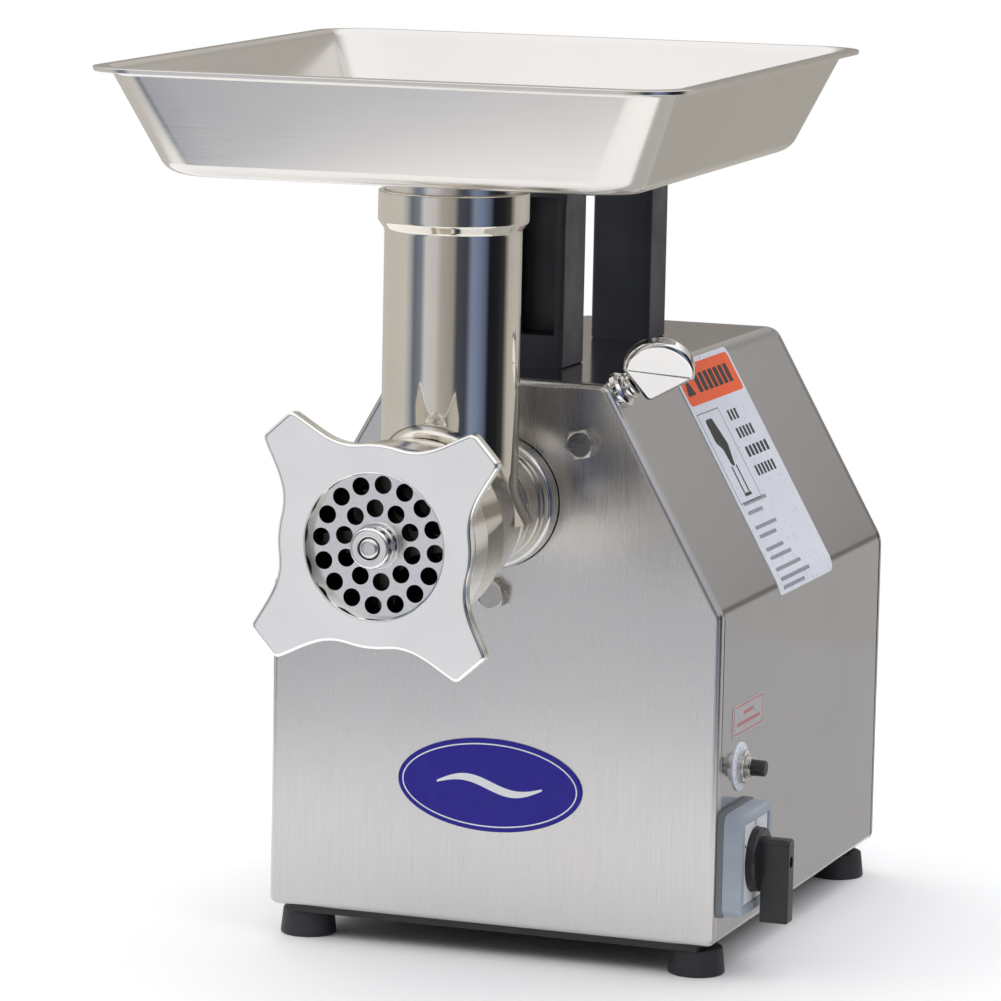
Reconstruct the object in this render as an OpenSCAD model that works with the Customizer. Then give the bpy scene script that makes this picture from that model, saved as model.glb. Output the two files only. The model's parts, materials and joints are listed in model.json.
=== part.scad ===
// Electric meat grinder: a sheet-metal motor housing with a cast grinding head on its
// front, a feed tray on the head's throat and a carrying handle on top.
// The origin is on the surface it stands on, under the middle of the housing. +Z is up,
// the head points along -Y and the switch is on the +X side. Millimetres.

/* [Housing] */
// Width across the vertical sides
body_w = 221; // [218:1:226]
// Depth from the front panel's face to the rear panel's face
body_d = 265; // [262:1:280]
// Height of the underside of the sheet-metal box
body_bottom = 16; // [15:0.5:18]
// Height of the long edges where the sides start to slant
body_mid = 170.5; // [168:0.5:174]
// Height of the top panel's face
body_top = 273.5; // [272:0.5:278]
// Width of the flat top
top_w = 104.5; // [100:0.5:110]
// Thickness of the sheet metal
sheet = 1.5; // [1.2:0.1:2]

/* [Grinding head] */
// Height of the drive axis
axis_z = 217; // [215:0.5:218]
// Radius of the cutting plate
plate_r = 35; // [34.5:0.1:35.2]
// Radius of one hole in the cutting plate
plate_hole_r = 4; // [2:0.5:4]
// Distance of the throat's axis in front of the front panel
throat_reach = 62; // [60:1:64]
// Outer radius of the throat tube
throat_r = 31; // [30:0.5:31]
// Inner radius of the throat tube
throat_bore_r = 26; // [24:0.5:26]
// Height of the tray's underside
tray_z = 373.5; // [370:0.5:378]

/* [Ring nut] */
// Radius to the tips of the four lobes
nut_tip_r = 69; // [64:1:72]
// Radius between the lobes
nut_waist_r = 44.5; // [44:0.5:46]
// Radius of the opening in front of the cutting plate
nut_open_r = 32; // [31:0.5:33]
// Turn of the lobes from the diagonals, in degrees
nut_turn = -3; // [-10:1:10]

/* [Feed tray] */
// Width over the rim
tray_w = 271; // [260:1:280]
// Length over the rim
tray_l = 341; // [320:1:345]
// Height of the tray
tray_h = 48.4; // [45:0.1:60]
// Distance of the rim's front edge in front of the front panel
tray_reach = 179.5; // [176:0.5:186]
// Turn of the tray on the round throat, in degrees
tray_turn = 2.8; // [-5:0.1:5]

/* [Carrying handle] */
// Width of the handle
handle_w = 30; // [26:1:34]
// Distance of the handle's front face behind the front panel
handle_start = 45; // [42:1:50]
// Length of the handle
handle_l = 153; // [145:1:165]
// Height of the handle above the top panel
handle_h = 97; // [88:1:98]

/* [Gears] */
// Module of all gears
gear_module = 2; // [2:1:2]
// Teeth on the motor pinion
motor_teeth = 12; // [12:1:12]
// Teeth on the intermediate gear
idler_teeth = 36; // [36:1:36]
// Teeth on the intermediate pinion
pinion_teeth = 14; // [14:1:14]
// Teeth on the output gear
output_teeth = 40; // [40:1:40]

/* [Hidden] */
$fn = 64;

front = -body_d / 2;
back = body_d / 2;
// Overlap that lets one cutting shape pass cleanly through another
past = 1;
// Gap between touching pieces that move against each other
run_gap = 0.3;

// The slanted panels: angle of their outward normal from vertical, and distance from the drive axis
slant_tilt = atan2(body_top - body_mid, (body_w - top_w) / 2);
slant_reach = body_w / 2 * sin(slant_tilt) + (body_mid - axis_z) * cos(slant_tilt);
slant_l = norm([body_top - body_mid, (body_w - top_w) / 2]);

// Front and rear panels are pans with a narrow seam to the shell
pan_depth = 5;
seam = 0.8;
shell_front = front + pan_depth + seam;
bottom_flange = 20;
frame_t = 2;
frame_front = front + sheet;
frame_depth = 8.5;

// Feet
base_t = 3.5;
base_z = body_bottom - base_t;
foot_r = 13.4;
foot_top_r = 12;
foot_x = body_w / 2 - foot_r;
foot_ys = [front + 18, back - 19];
foot_places = [for (x = [-foot_x, foot_x], y = foot_ys) [x, y]];
foot_screw_r = 2.5;

// Drive chain, from the hub to the motor, along Y
hub_r = 31;
hub_front = front - 11;
hub_flange_back = front + 9.5;
case_front = front + 31.5;
case_wall = 8;
gear1_y = case_front + 12;
gear1_w = 14;
gear2_y = case_front + 29;
gear2_w = 10;
cover_front = case_front + 43;
cover_t = 8;
motor_front = cover_front + cover_t;
motor_back = motor_front + 100;
cap_t = 8;
cowl_back = motor_back + 32;
idler_z = axis_z - pitch_r(output_teeth) - pitch_r(pinion_teeth);
motor_z = idler_z - pitch_r(idler_teeth) - pitch_r(motor_teeth);
motor_r = 62;
motor_wall = 4;
shaft_r = 8;
output_hub_r = 16;
output_journal_r = 10;
spigot_r = 22.2;
spigot_bore_r = spigot_r + run_gap;
fit = 0.05;

// Bolts that hold the gearbox hub to the front panel: a triangle set a little above the axis
bolt_circle_z = axis_z + 5;
bolt_circle_r = 48.5;
bolt_places = [for (a = [30, 150, 270]) bolt_circle_r * [cos(a), sin(a)] + [0, bolt_circle_z]];
bolt_r = 4;
gearbox_screw_r = 2.5;
gearbox_screw_places = [for (a = [75, 165, 255, 345]) 35.8 * [cos(a), sin(a)] + [0, axis_z]];

// Grinding head, as distances in front of the front panel
neck_r = 27.5;
barrel_r = 41;
thread_r = 38.8;
auger_r = 25.5;
auger_bore_r = 26.5;
auger_back = out(33);
auger_front = out(132);
knife_room_r = 31;
journal_r = 12;
tang_w = 14.4;
plate_front = out(148.5);
plate_t = 8;
head_front = out(147.5);
stud_r = 4.75;
stud_front = out(160.5);
nut_face = out(154.5);
nut_lobe_t = 7;
throat_top = tray_z - 8.2;
// The throat's bore is wider round the feed screw's flight, and again round the tray's spout
throat_well_r = 27;
throat_well_z = axis_z + 29;
spout_r = 30.9;
spout_bore_r = 29.4;
socket_floor = tray_z - 20.8;
socket_bore_r = spout_r + run_gap;
socket_r = 34;

// Locking screw, square to the right slanted panel and above the drive axis, close to the top edge
lock_y = front + 12.5;
lock_rise = 19;
lock_r = 5;
lock_tip = 18;
lock_bush_r = 6.5;
lock_flange_r = 8.5;
paddle_r = 16.5;
paddle_t = 8;
paddle_flat = 11;
paddle_turn = 30;

// Switch and breaker on the right side
side_x = body_w / 2;
switch_y = front + 26;
switch_z = 54.25;
dial_r = 15;
breaker_y = front + 34;
breaker_z = 95.4;
button_r = 3.75;

function out(reach) = front - reach;
function pitch_r(teeth) = gear_module * teeth / 2;
function tip_r(teeth) = pitch_r(teeth) + 0.8 * gear_module;
function root_r(teeth) = pitch_r(teeth) - 1.1 * gear_module;
function base_r(teeth) = pitch_r(teeth) * cos(20);
function deg(radians) = radians * 180 / PI;
function polar(r, a) = [r * cos(a), r * sin(a)];

// Involute flank: half the angle that a tooth covers at radius r
tooth_slack = 0.15;
function roll(r, teeth) = let (a = acos(base_r(teeth) / r)) deg(tan(a)) - a;
function half_tooth(r, teeth) =
    90 / teeth - deg(tooth_slack / pitch_r(teeth)) + roll(pitch_r(teeth), teeth) - roll(r, teeth);
function flank_radii(teeth) =
    let (low = max(base_r(teeth), root_r(teeth)) + 0.05, high = tip_r(teeth))
    [for (k = [0:3]) low + (high - low) * k / 3];
function gear_points(teeth) = [for (i = [0:teeth - 1])
    let (a = 360 * i / teeth, radii = flank_radii(teeth), w = half_tooth(radii[0], teeth))
    each concat(
        [polar(root_r(teeth), a - w)],
        [for (k = [0:3]) polar(radii[k], a - half_tooth(radii[k], teeth))],
        [for (k = [3:-1:0]) polar(radii[k], a + half_tooth(radii[k], teeth))],
        [polar(root_r(teeth), a + w)])];

// ---- Shared shapes ----

// Extrudes an outline drawn in (x, z) from y0 to y1
module along_y(y0, y1) {
    translate([0, y1, 0]) rotate([90, 0, 0]) linear_extrude(y1 - y0) children();
}

// Extrudes an outline drawn in (y, z) from x0 to x1
module along_x(x0, x1) {
    translate([x0, 0, 0]) rotate([90, 0, 90]) linear_extrude(x1 - x0) children();
}

// A round bar along Y
module bar_y(r, y0, y1, x = 0, z = axis_z) {
    translate([x, y0, z]) rotate([-90, 0, 0]) cylinder(r = r, h = y1 - y0);
}

// A round bar along X
module bar_x(r, x0, x1, y, z) {
    translate([x0, y, z]) rotate([0, 90, 0]) cylinder(r = r, h = x1 - x0);
}

// A tube along Y
module ring_y(r_out, r_in, y0, y1, z = axis_z) {
    difference() {
        bar_y(r_out, y0, y1, z = z);
        bar_y(r_in, y0 - past, y1 + past, z = z);
    }
}

// A rectangular block from its lowest to its highest corner
module block(low, high) {
    translate(low) cube(high - low);
}

// Local Z runs along the locking screw, from the height of the drive axis outwards
module on_lock_line() {
    translate([0, lock_y, axis_z]) rotate([0, slant_tilt, 0]) translate([-lock_rise, 0, 0]) children();
}

// Local Z points out of the right slanted panel, local X runs down it, from its upper edge
module on_slant() {
    translate([top_w / 2, 0, body_top]) rotate([0, slant_tilt, 0]) children();
}

// The housing's outline, moved inwards by t, down to z0
function mid_corner(t) = [body_w / 2 - t, body_mid - t * (1 - sin(slant_tilt)) / cos(slant_tilt)];
function top_corner(t) =
    [body_w / 2 - (t + (body_top - t - body_mid) * cos(slant_tilt)) / sin(slant_tilt), body_top - t];
module housing_outline(t, z0) {
    m = mid_corner(t);
    p = top_corner(t);
    polygon([[-m.x, z0], [m.x, z0], m, p, [-p.x, p.y], [-m.x, m.y]]);
}

module rounded_rect(w, l, r) {
    square([w - 2 * r, l], center = true);
    square([w, l - 2 * r], center = true);
    for (x = [-1, 1], y = [-1, 1]) translate([x * (w / 2 - r), y * (l / 2 - r)]) circle(r);
}

module spur_gear(teeth, y0, y1, z, turn) {
    translate([0, 0, z]) along_y(y0, y1) rotate(turn) polygon(gear_points(teeth));
}

// A pan pressed from sheet, open towards +Y when depth is positive
module pan(face_y, depth) {
    near = min(face_y, face_y + depth);
    far = max(face_y, face_y + depth);
    inner = depth > 0 ? [near + sheet, far + past] : [near - past, far - sheet];
    difference() {
        along_y(near, far) housing_outline(0, body_bottom);
        along_y(inner[0], inner[1]) housing_outline(sheet, body_bottom + sheet);
    }
}

// A strip of angle iron bent round the inside of the housing
module frame_ring(y0, y1, leg) {
    difference() {
        along_y(y0, y1) housing_outline(sheet, body_bottom + sheet);
        along_y(y0 - past, y1 + past) housing_outline(sheet + leg, body_bottom + sheet + leg);
    }
}

// ---- Housing ----

module front_panel() {
    color("gainsboro") difference() {
        pan(front, pan_depth);
        bar_y(hub_r + run_gap, front - past, front + sheet + past);
        for (p = bolt_places) bar_y(bolt_r + 0.2, front - past, front + sheet + past, p.x, p.y);
    }
}

module housing_shell() {
    color("silver") difference() {
        along_y(shell_front, -shell_front) housing_outline(0, body_bottom);
        along_y(shell_front - past, past - shell_front) housing_outline(sheet, body_bottom + sheet);
        block([-body_w / 2 + bottom_flange, shell_front - past, body_bottom - past],
            [body_w / 2 - bottom_flange, past - shell_front, body_bottom + sheet + past]);
        for (p = foot_places) translate([p.x, p.y, body_bottom - past])
            cylinder(r = foot_screw_r + 0.2, h = sheet + 2 * past);
        for (y = handle_screw_ys) translate([0, y, body_top - sheet - past])
            cylinder(r = handle_screw_r + 0.2, h = sheet + 2 * past);
        on_lock_line() translate([0, 0, slant_reach - 10]) cylinder(r = lock_bush_r + 0.1, h = 20);
        bar_x(4, side_x - 10, side_x + past, switch_y, switch_z);
        bar_x(breaker_neck_r + 0.2, side_x - 10, side_x + past, breaker_y, breaker_z);
    }
}

vent_ys = [for (i = [-3:3]) i * 12];
module rear_panel() {
    color("silver") difference() {
        pan(back, -pan_depth);
        for (z = vent_ys) block([-30, back - 10, 90 + z], [30, back + past, 94 + z]);
        bar_y(gland_r, back - 10, back + past, gland_x, gland_z);
        for (p = rear_screw_places) bar_y(screw_r + 0.1, back - 10, back + past, p.x, p.y);
    }
}

module front_frame() {
    color("dimgray") difference() {
        frame_ring(frame_front, frame_front + frame_depth, frame_t);
        on_lock_line() cylinder(r = lock_bush_r + 0.1, h = slant_reach);
    }
}

module rear_frame() {
    color("dimgray") difference() {
        union() {
            frame_ring(back - sheet - frame_depth, back - sheet, frame_t);
            frame_ring(back - sheet - frame_t, back - sheet, 14);
        }
        for (p = rear_screw_places) bar_y(screw_r + 0.1, back - 10, back + past, p.x, p.y);
    }
}

// Pan-head screws that hold the rear panel to its frame
screw_r = 2;
rear_screw_places = [for (s = [-1, 1], p = [[102, 30], [102, 155], [42, 264]]) [s * p.x, p.y]];
module rear_screws() {
    color("silver") for (p = rear_screw_places) {
        bar_y(screw_r, back - 8, back + past, p.x, p.y);
        bar_y(4, back, back + 2.4, p.x, p.y);
    }
}

base_x = body_w / 2 - 9;
base_y = body_d / 2 - 4;
module base_plate() {
    color("black") difference() {
        block([-base_x, -base_y, base_z], [base_x, base_y, body_bottom]);
        for (p = foot_places) translate([p.x, p.y, base_z - past])
            cylinder(r = foot_screw_r + 0.2, h = base_t + 2 * past);
        for (y = vent_ys) block([40, 60 + y, base_z - past], [85, 64 + y, body_bottom + past]);
    }
}

foot_recess = 6;
module feet() {
    color("black") for (p = foot_places) translate([p.x, p.y, 0]) difference() {
        cylinder(r1 = foot_r, r2 = foot_top_r, h = base_z);
        translate([0, 0, -past]) cylinder(r = foot_screw_r + 0.2, h = base_z + 2 * past);
        translate([0, 0, -past]) cylinder(r = 6, h = foot_recess + past);
    }
}

module foot_screws() {
    color("silver") for (p = foot_places) translate([p.x, p.y, 0]) {
        translate([0, 0, 2.5]) cylinder(r = 5, h = foot_recess - 2.5);
        translate([0, 0, foot_recess - 1]) cylinder(r = foot_screw_r, h = 17);
    }
}

// ---- Carrying handle ----

handle_end = front + handle_start + handle_l;
handle_leg = [31, 26];
handle_bar_t = 14;
handle_round = 24;
handle_inner_round = 5;
handle_screw_r = 3;
handle_screw_l = 14;
handle_screw_ys = [front + handle_start + 15, handle_end - 13];

// Recess in the front leg: width, start and end above the top panel, depth
handle_recess = [21.6, 15.5, 80, 18];

// A rectangle in (y, z) whose two upper corners are rounded
module arch(y0, y1, z0, z1, r) {
    translate([y0, z0]) square([y1 - y0, z1 - r - z0]);
    translate([y0 + r, z0]) square([y1 - y0 - 2 * r, z1 - z0]);
    for (y = [y0 + r, y1 - r]) translate([y, z1 - r]) circle(r);
}

module carry_handle() {
    top = body_top + handle_h;
    start = front + handle_start;
    color("#202225") difference() {
        along_x(-handle_w / 2, handle_w / 2) difference() {
            arch(start, handle_end, body_top, top, handle_round);
            arch(start + handle_leg[0], handle_end - handle_leg[1], body_top - past,
                top - handle_bar_t, handle_inner_round);
        }
        for (y = handle_screw_ys) translate([0, y, body_top - past])
            cylinder(r = handle_screw_r + 0.2, h = handle_screw_l + past);
        // The front leg is open towards the front, between two side walls
        block([-handle_recess[0] / 2, start - past, body_top + handle_recess[1]],
            [handle_recess[0] / 2, start + handle_recess[3], body_top + handle_recess[2]]);
    }
}

module handle_screws() {
    color("silver") for (y = handle_screw_ys) translate([0, y, body_top - sheet]) {
        translate([0, 0, -4]) cylinder(r = 5.5, h = 4);
        translate([0, 0, -past]) cylinder(r = handle_screw_r, h = handle_screw_l);
    }
}

// ---- Drive ----

module hub_socket() {
    color("lightgray") difference() {
        union() {
            bar_y(hub_r, hub_front, case_front);
            along_y(frame_front, hub_flange_back) {
                translate([0, bolt_circle_z]) circle(43);
                for (p = bolt_places) translate(p) circle(9);
            }
            bar_y(40, case_front - 6, case_front);
        }
        bar_y(spigot_bore_r, hub_front - past, case_front + past);
        for (p = bolt_places)
            bar_y(bolt_r + 0.1, frame_front - past, hub_flange_back + past, p.x, p.y);
        for (p = gearbox_screw_places)
            bar_y(gearbox_screw_r + 0.1, case_front - 7, case_front + past, p.x, p.y);
        on_lock_line() cylinder(r = lock_r + run_gap, h = hub_r + 20);
    }
}

// Hexagon bolts; the flats are 13 mm apart
module hub_bolts() {
    color("lightgray") for (p = bolt_places) {
        translate([p.x, 0, p.y]) along_y(front - 6, front) circle(r = 7.5, $fn = 6);
        bar_y(bolt_r, front - past, hub_flange_back, p.x, p.y);
    }
}

module gearbox_screws() {
    color("dimgray") for (p = gearbox_screw_places) {
        bar_y(4.5, case_front - 10, case_front - 6, p.x, p.y);
        bar_y(gearbox_screw_r, case_front - 7, case_front + case_wall - 1, p.x, p.y);
    }
}

// Outline round all three shafts, with the given wall added
module gearbox_outline(wall) {
    translate([0, axis_z]) circle(tip_r(output_teeth) + 1.4 + wall);
    translate([0, idler_z]) circle(tip_r(idler_teeth) + 1.4 + wall);
    translate([0, motor_z]) circle(tip_r(motor_teeth) + 3.4 + wall);
}

gearbox_wall = 4;
output_bearing_r = 26;
rear_bearing_r = 18;
idler_bearing_r = 14;
motor_bearing_r = 16;
module gearbox_case() {
    color("darkgray") difference() {
        along_y(case_front, cover_front) gearbox_outline(gearbox_wall);
        along_y(case_front + case_wall, cover_front + past) gearbox_outline(0);
        bar_y(output_bearing_r, case_front - past, case_front + case_wall + past);
        bar_y(idler_bearing_r, case_front - past, case_front + case_wall + past, z = idler_z);
        for (p = gearbox_screw_places)
            bar_y(gearbox_screw_r + 0.1, case_front - past, case_front + case_wall + past, p.x, p.y);
    }
}

module gearbox_cover() {
    color("darkgray") difference() {
        along_y(cover_front, motor_front) {
            gearbox_outline(gearbox_wall);
            translate([0, motor_z]) circle(motor_r);
        }
        bar_y(rear_bearing_r, cover_front - past, motor_front + past);
        bar_y(idler_bearing_r, cover_front - past, motor_front + past, z = idler_z);
        bar_y(motor_bearing_r, cover_front - past, motor_front + past, z = motor_z);
    }
}

// Bearings are drawn as plain rings; each shaft runs in the bore
module output_bearings() {
    color("silver") {
        ring_y(output_bearing_r - fit, output_hub_r + fit, case_front, case_front + case_wall);
        ring_y(rear_bearing_r - fit, output_journal_r + fit, cover_front, motor_front);
    }
}

module idler_bearings() {
    color("silver") {
        ring_y(idler_bearing_r - fit, shaft_r + fit, case_front, case_front + case_wall, idler_z);
        ring_y(idler_bearing_r - fit, shaft_r + fit, cover_front, motor_front, idler_z);
    }
}

module motor_bearings() {
    color("silver") {
        ring_y(motor_bearing_r - fit, shaft_r + fit, cover_front, motor_front, motor_z);
        ring_y(motor_bearing_r - fit, shaft_r + fit, motor_back, motor_back + cap_t, motor_z);
    }
}

module output_gear() {
    socket = tang_w + 2 * run_gap;
    color("goldenrod") difference() {
        union() {
            bar_y(output_hub_r, case_front + run_gap, gear1_y + gear1_w);
            spur_gear(output_teeth, gear1_y, gear1_y + gear1_w, axis_z, 270 + 180 / output_teeth);
            bar_y(output_journal_r, gear1_y + gear1_w - past, motor_front - 1);
        }
        block([-socket / 2, case_front, axis_z - socket / 2],
            [socket / 2, case_front + 16, axis_z + socket / 2]);
    }
}

module idler_shaft() {
    color("silver") {
        bar_y(shaft_r, case_front + 0.5, motor_front - 0.5, z = idler_z);
        spur_gear(pinion_teeth, gear1_y - 1, gear1_y + gear1_w + 1, idler_z, 90);
    }
}

module idler_gear() {
    color("goldenrod") difference() {
        spur_gear(idler_teeth, gear2_y, gear2_y + gear2_w, idler_z, 270 + 180 / idler_teeth);
        bar_y(shaft_r + fit, gear2_y - past, gear2_y + gear2_w + past, z = idler_z);
    }
}

module motor_shaft() {
    color("silver") {
        spur_gear(motor_teeth, gear2_y - 1, gear2_y + gear2_w + 1, motor_z, 90);
        bar_y(shaft_r, gear2_y + gear2_w, motor_back + 26, z = motor_z);
    }
}

stack_l = 64;
stack_front = motor_front + (motor_back - motor_front - stack_l) / 2;
stack_back = stack_front + stack_l;
rotor_r = 33.4;
stator_bore_r = 34;
module rotor_core() {
    color("gray") ring_y(rotor_r, shaft_r + fit, stack_front, stack_back, motor_z);
}

module stator_core() {
    color("gray") ring_y(motor_r - motor_wall - fit, stator_bore_r, stack_front, stack_back, motor_z);
}

module windings() {
    color("peru") for (y = [stack_front - 14, stack_back])
        ring_y(52, 38, y, y + 14, motor_z);
}

module motor_case() {
    color("darkslategray")
        ring_y(motor_r, motor_r - motor_wall, motor_front, motor_back, motor_z);
}

module motor_end_cap() {
    color("darkgray") ring_y(motor_r, motor_bearing_r, motor_back, motor_back + cap_t, motor_z);
}

module cooling_fan() {
    fan_front = motor_back + 12;
    fan_back = fan_front + 12;
    color("ivory") difference() {
        union() {
            bar_y(14, fan_front, fan_back, z = motor_z);
            translate([0, 0, motor_z]) along_y(fan_front, fan_back)
                for (i = [0:6]) rotate(360 / 7 * i) translate([10, -1]) square([42, 2]);
        }
        bar_y(shaft_r + fit, fan_front - past, fan_back + past, z = motor_z);
    }
}

module fan_cowl() {
    color("darkslategray") difference() {
        bar_y(motor_r, motor_back + cap_t, cowl_back, z = motor_z);
        bar_y(motor_r - sheet, motor_back + cap_t - past, cowl_back - sheet, z = motor_z);
        for (ring = [[20, 8], [34, 14], [48, 20]], i = [1:ring[1]])
            translate([0, 0, motor_z]) rotate([0, 360 / ring[1] * i, 0])
                bar_y(4, cowl_back - sheet - past, cowl_back + past, ring[0], 0);
    }
}

cradle_x = 35;
module motor_cradle() {
    color("dimgray") difference() {
        block([-cradle_x, motor_front + 25, body_bottom], [cradle_x, motor_back - 25, motor_z - 45]);
        bar_y(motor_r + fit, motor_front, motor_back, z = motor_z);
    }
}

capacitor_x = -82;
capacitor_z = 46;
capacitor_r = 18;
module start_capacitor() {
    color("lightgray") {
        bar_y(capacitor_r, -20, 50, capacitor_x, capacitor_z);
        for (x = [-6, 6]) bar_y(2, 50 - past, 57, capacitor_x + x, capacitor_z);
    }
}

module capacitor_clip() {
    color("gray") difference() {
        union() {
            bar_y(capacitor_r + 2, 5, 21, capacitor_x, capacitor_z);
            block([capacitor_x - 7, 5, body_bottom], [capacitor_x + 7, 21, capacitor_z]);
        }
        bar_y(capacitor_r + fit, 4, 22, capacitor_x, capacitor_z);
    }
}

gland_x = -60;
gland_z = 48;
gland_r = 8;
module cable_gland() {
    color("black") difference() {
        union() {
            bar_y(gland_r - 0.2, back - 10, back + 14, gland_x, gland_z);
            bar_y(12, back, back + 5, gland_x, gland_z);
        }
        bar_y(4.5, back - 11, back + 15, gland_x, gland_z);
    }
}

// ---- Grinding head ----

// The casting: barrel, throat and the spigot that goes into the hub, as one piece
module grinder_head() {
    color("lightgray") difference() {
        union() {
            translate([0, 0, axis_z]) rotate([-90, 0, 0]) rotate_extrude() polygon([
                [0, head_front], [thread_r, head_front], [thread_r, out(127)], [barrel_r, out(126)],
                [barrel_r, out(100)], [neck_r, out(31)], [neck_r, hub_front - run_gap],
                [spigot_r, hub_front - run_gap], [spigot_r, front + 28], [0, front + 28]]);
            translate([0, out(throat_reach), 0]) rotate_extrude() polygon([
                [0, axis_z], [throat_r, axis_z], [throat_r, socket_floor - 4],
                [socket_r, socket_floor], [socket_r, throat_top], [0, throat_top]]);
        }
        bar_y(plate_r + run_gap, head_front - past, plate_front + plate_t);
        bar_y(knife_room_r, head_front, out(131));
        bar_y(auger_bore_r, out(132), out(32));
        bar_y(journal_r + run_gap, out(33), front + 29);
        translate([0, out(throat_reach), 0]) rotate_extrude() polygon([
            [0, axis_z], [throat_well_r, axis_z], [throat_well_r, throat_well_z],
            [throat_bore_r, throat_well_z], [throat_bore_r, socket_floor],
            [socket_bore_r, socket_floor], [socket_bore_r, throat_top + past],
            [0, throat_top + past]]);
        plate_pin_place() bar_y(pin_r + 0.1, head_front - past, plate_front + plate_t - 1, z = 0);
    }
}

// A small pin at the rim keeps the cutting plate from turning
pin_r = 1.5;
module plate_pin_place() {
    translate([0, 0, axis_z]) rotate([0, 45, 0]) translate([plate_r, 0, 0]) children();
}
module plate_pin() {
    color("dimgray") plate_pin_place() bar_y(pin_r, plate_front + 0.5, plate_front + plate_t - 1, z = 0);
}

// Rings of holes: [radius, number of holes, turn of the first]
plate_rings = [[26.7, 16, 4], [16.2, 10, 12]];
bush_r = 7.5;
module cutting_plate() {
    color("lightgray") difference() {
        bar_y(plate_r, plate_front, plate_front + plate_t);
        for (ring = plate_rings, i = [1:ring[1]]) translate([0, 0, axis_z])
            rotate([0, ring[2] + 360 / ring[1] * i, 0])
                bar_y(plate_hole_r, plate_front - past, plate_front + plate_t + past, ring[0], 0);
        bar_y(bush_r + fit, plate_front - past, plate_front + plate_t + past);
        plate_pin_place() bar_y(pin_r + 0.1, plate_front - past, plate_front + plate_t - 1, z = 0);
    }
}

// The bush in the plate's middle, with a collar in front that carries the feed screw's stud
module plate_bush() {
    color("silver") difference() {
        union() {
            bar_y(bush_r, out(159), plate_front + plate_t);
            bar_y(10.5, plate_front - 1.5, plate_front);
            bar_y(9.3, out(160), out(153.5));
        }
        bar_y(stud_r + run_gap, out(161), plate_front + plate_t + past);
    }
}

// Single-start feed screw: a core with one rounded flight wound round it
flight_pitch = 42;
module feed_screw() {
    len = auger_back - auger_front;
    color("lightgray") translate([0, auger_back, axis_z]) rotate([90, 0, 0])
        linear_extrude(len, twist = -360 * len / flight_pitch, slices = 36) {
            circle(r = 13, $fn = 24);
            translate([auger_r - 9, 0]) circle(r = 9, $fn = 20);
        }
}

module auger_shank() {
    color("silver") {
        bar_y(journal_r, auger_back, front + 29.5);
        block([-tang_w / 2, front + 29.5, axis_z - tang_w / 2],
            [tang_w / 2, case_front + 14, axis_z + tang_w / 2]);
    }
}

knife_square = 15;
module auger_stud() {
    color("silver") {
        block([-knife_square / 2, out(140.3), axis_z - knife_square / 2],
            [knife_square / 2, auger_front, axis_z + knife_square / 2]);
        bar_y(stud_r, stud_front, out(140.3));
    }
}

module knife() {
    color("silver") translate([0, 0, axis_z]) along_y(out(140.3), out(132.3)) difference() {
        union() {
            circle(14);
            for (a = [0:90:270]) rotate(a) polygon([[0, -7], [29, -2], [29, 5], [0, 7]]);
        }
        square(knife_square + 4 * fit, center = true);
    }
}

// Four lobes that widen towards the nut's waist
lobe_half = 8;
module lobed_outline() {
    circle(nut_waist_r);
    for (a = [45:90:315]) rotate(a + nut_turn) intersection() {
        circle(nut_tip_r);
        polygon([polar(nut_waist_r * 0.9, -38), polar(nut_waist_r * 1.18, -20),
            polar(nut_tip_r * 1.02, -lobe_half), polar(nut_tip_r * 1.02, lobe_half),
            polar(nut_waist_r * 1.18, 20), polar(nut_waist_r * 0.9, 38)]);
    }
}

module ring_nut() {
    color("whitesmoke") difference() {
        union() {
            translate([0, 0, axis_z]) along_y(nut_face, nut_face + nut_lobe_t) lobed_outline();
            bar_y(nut_waist_r - 0.5, nut_face + past, out(128.5));
        }
        bar_y(nut_open_r, nut_face - past, out(148));
        bar_y(thread_r + run_gap, plate_front - 0.2, out(128));
    }
}

// ---- Feed tray ----

// Middle of the pan behind the throat's axis
tray_y = throat_reach - tray_reach + tray_l / 2;
rim_w = 8;
tray_lean = 19.5;
tray_corner = 18;
rim_t = 2;

// A thin slab of the pan's outline at height z
module pan_slab(size, r, z, t) {
    translate([0, tray_y, z]) linear_extrude(t) rounded_rect(size.x, size.y, r, $fn = 32);
}

// The pan's solid between its bottom and its rim, moved inwards by t
module tray_solid(t, z0, z1) {
    top = [tray_w - 2 * rim_w - 2 * t, tray_l - 2 * rim_w - 2 * t];
    low = top - 2 * tray_lean * [1, 1];
    hull() {
        pan_slab(low, tray_corner - t, z0, 0.1);
        pan_slab(top, tray_corner - t, z1 - 0.1, 0.1);
    }
}

module feed_tray() {
    rim_z = tray_z + tray_h - rim_t;
    color("gainsboro") translate([0, out(throat_reach), 0]) rotate([0, 0, tray_turn]) difference() {
        union() {
            tray_solid(0, tray_z, rim_z + 1);
            pan_slab([tray_w, tray_l], tray_corner + rim_w, rim_z, rim_t);
        }
        tray_solid(sheet, tray_z + sheet, rim_z + 2 * rim_t);
        translate([0, 0, tray_z - past]) cylinder(r = spout_bore_r, h = sheet + 2 * past);
    }
}

// The short tube under the tray that goes into the throat's socket
module tray_spout() {
    spout_l = tray_z - socket_floor - run_gap;
    color("gainsboro") translate([0, out(throat_reach), tray_z - spout_l]) difference() {
        cylinder(r = spout_r, h = spout_l);
        translate([0, 0, -past]) cylinder(r = spout_bore_r, h = spout_l + 2 * past);
    }
}

// ---- Locking screw ----

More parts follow.
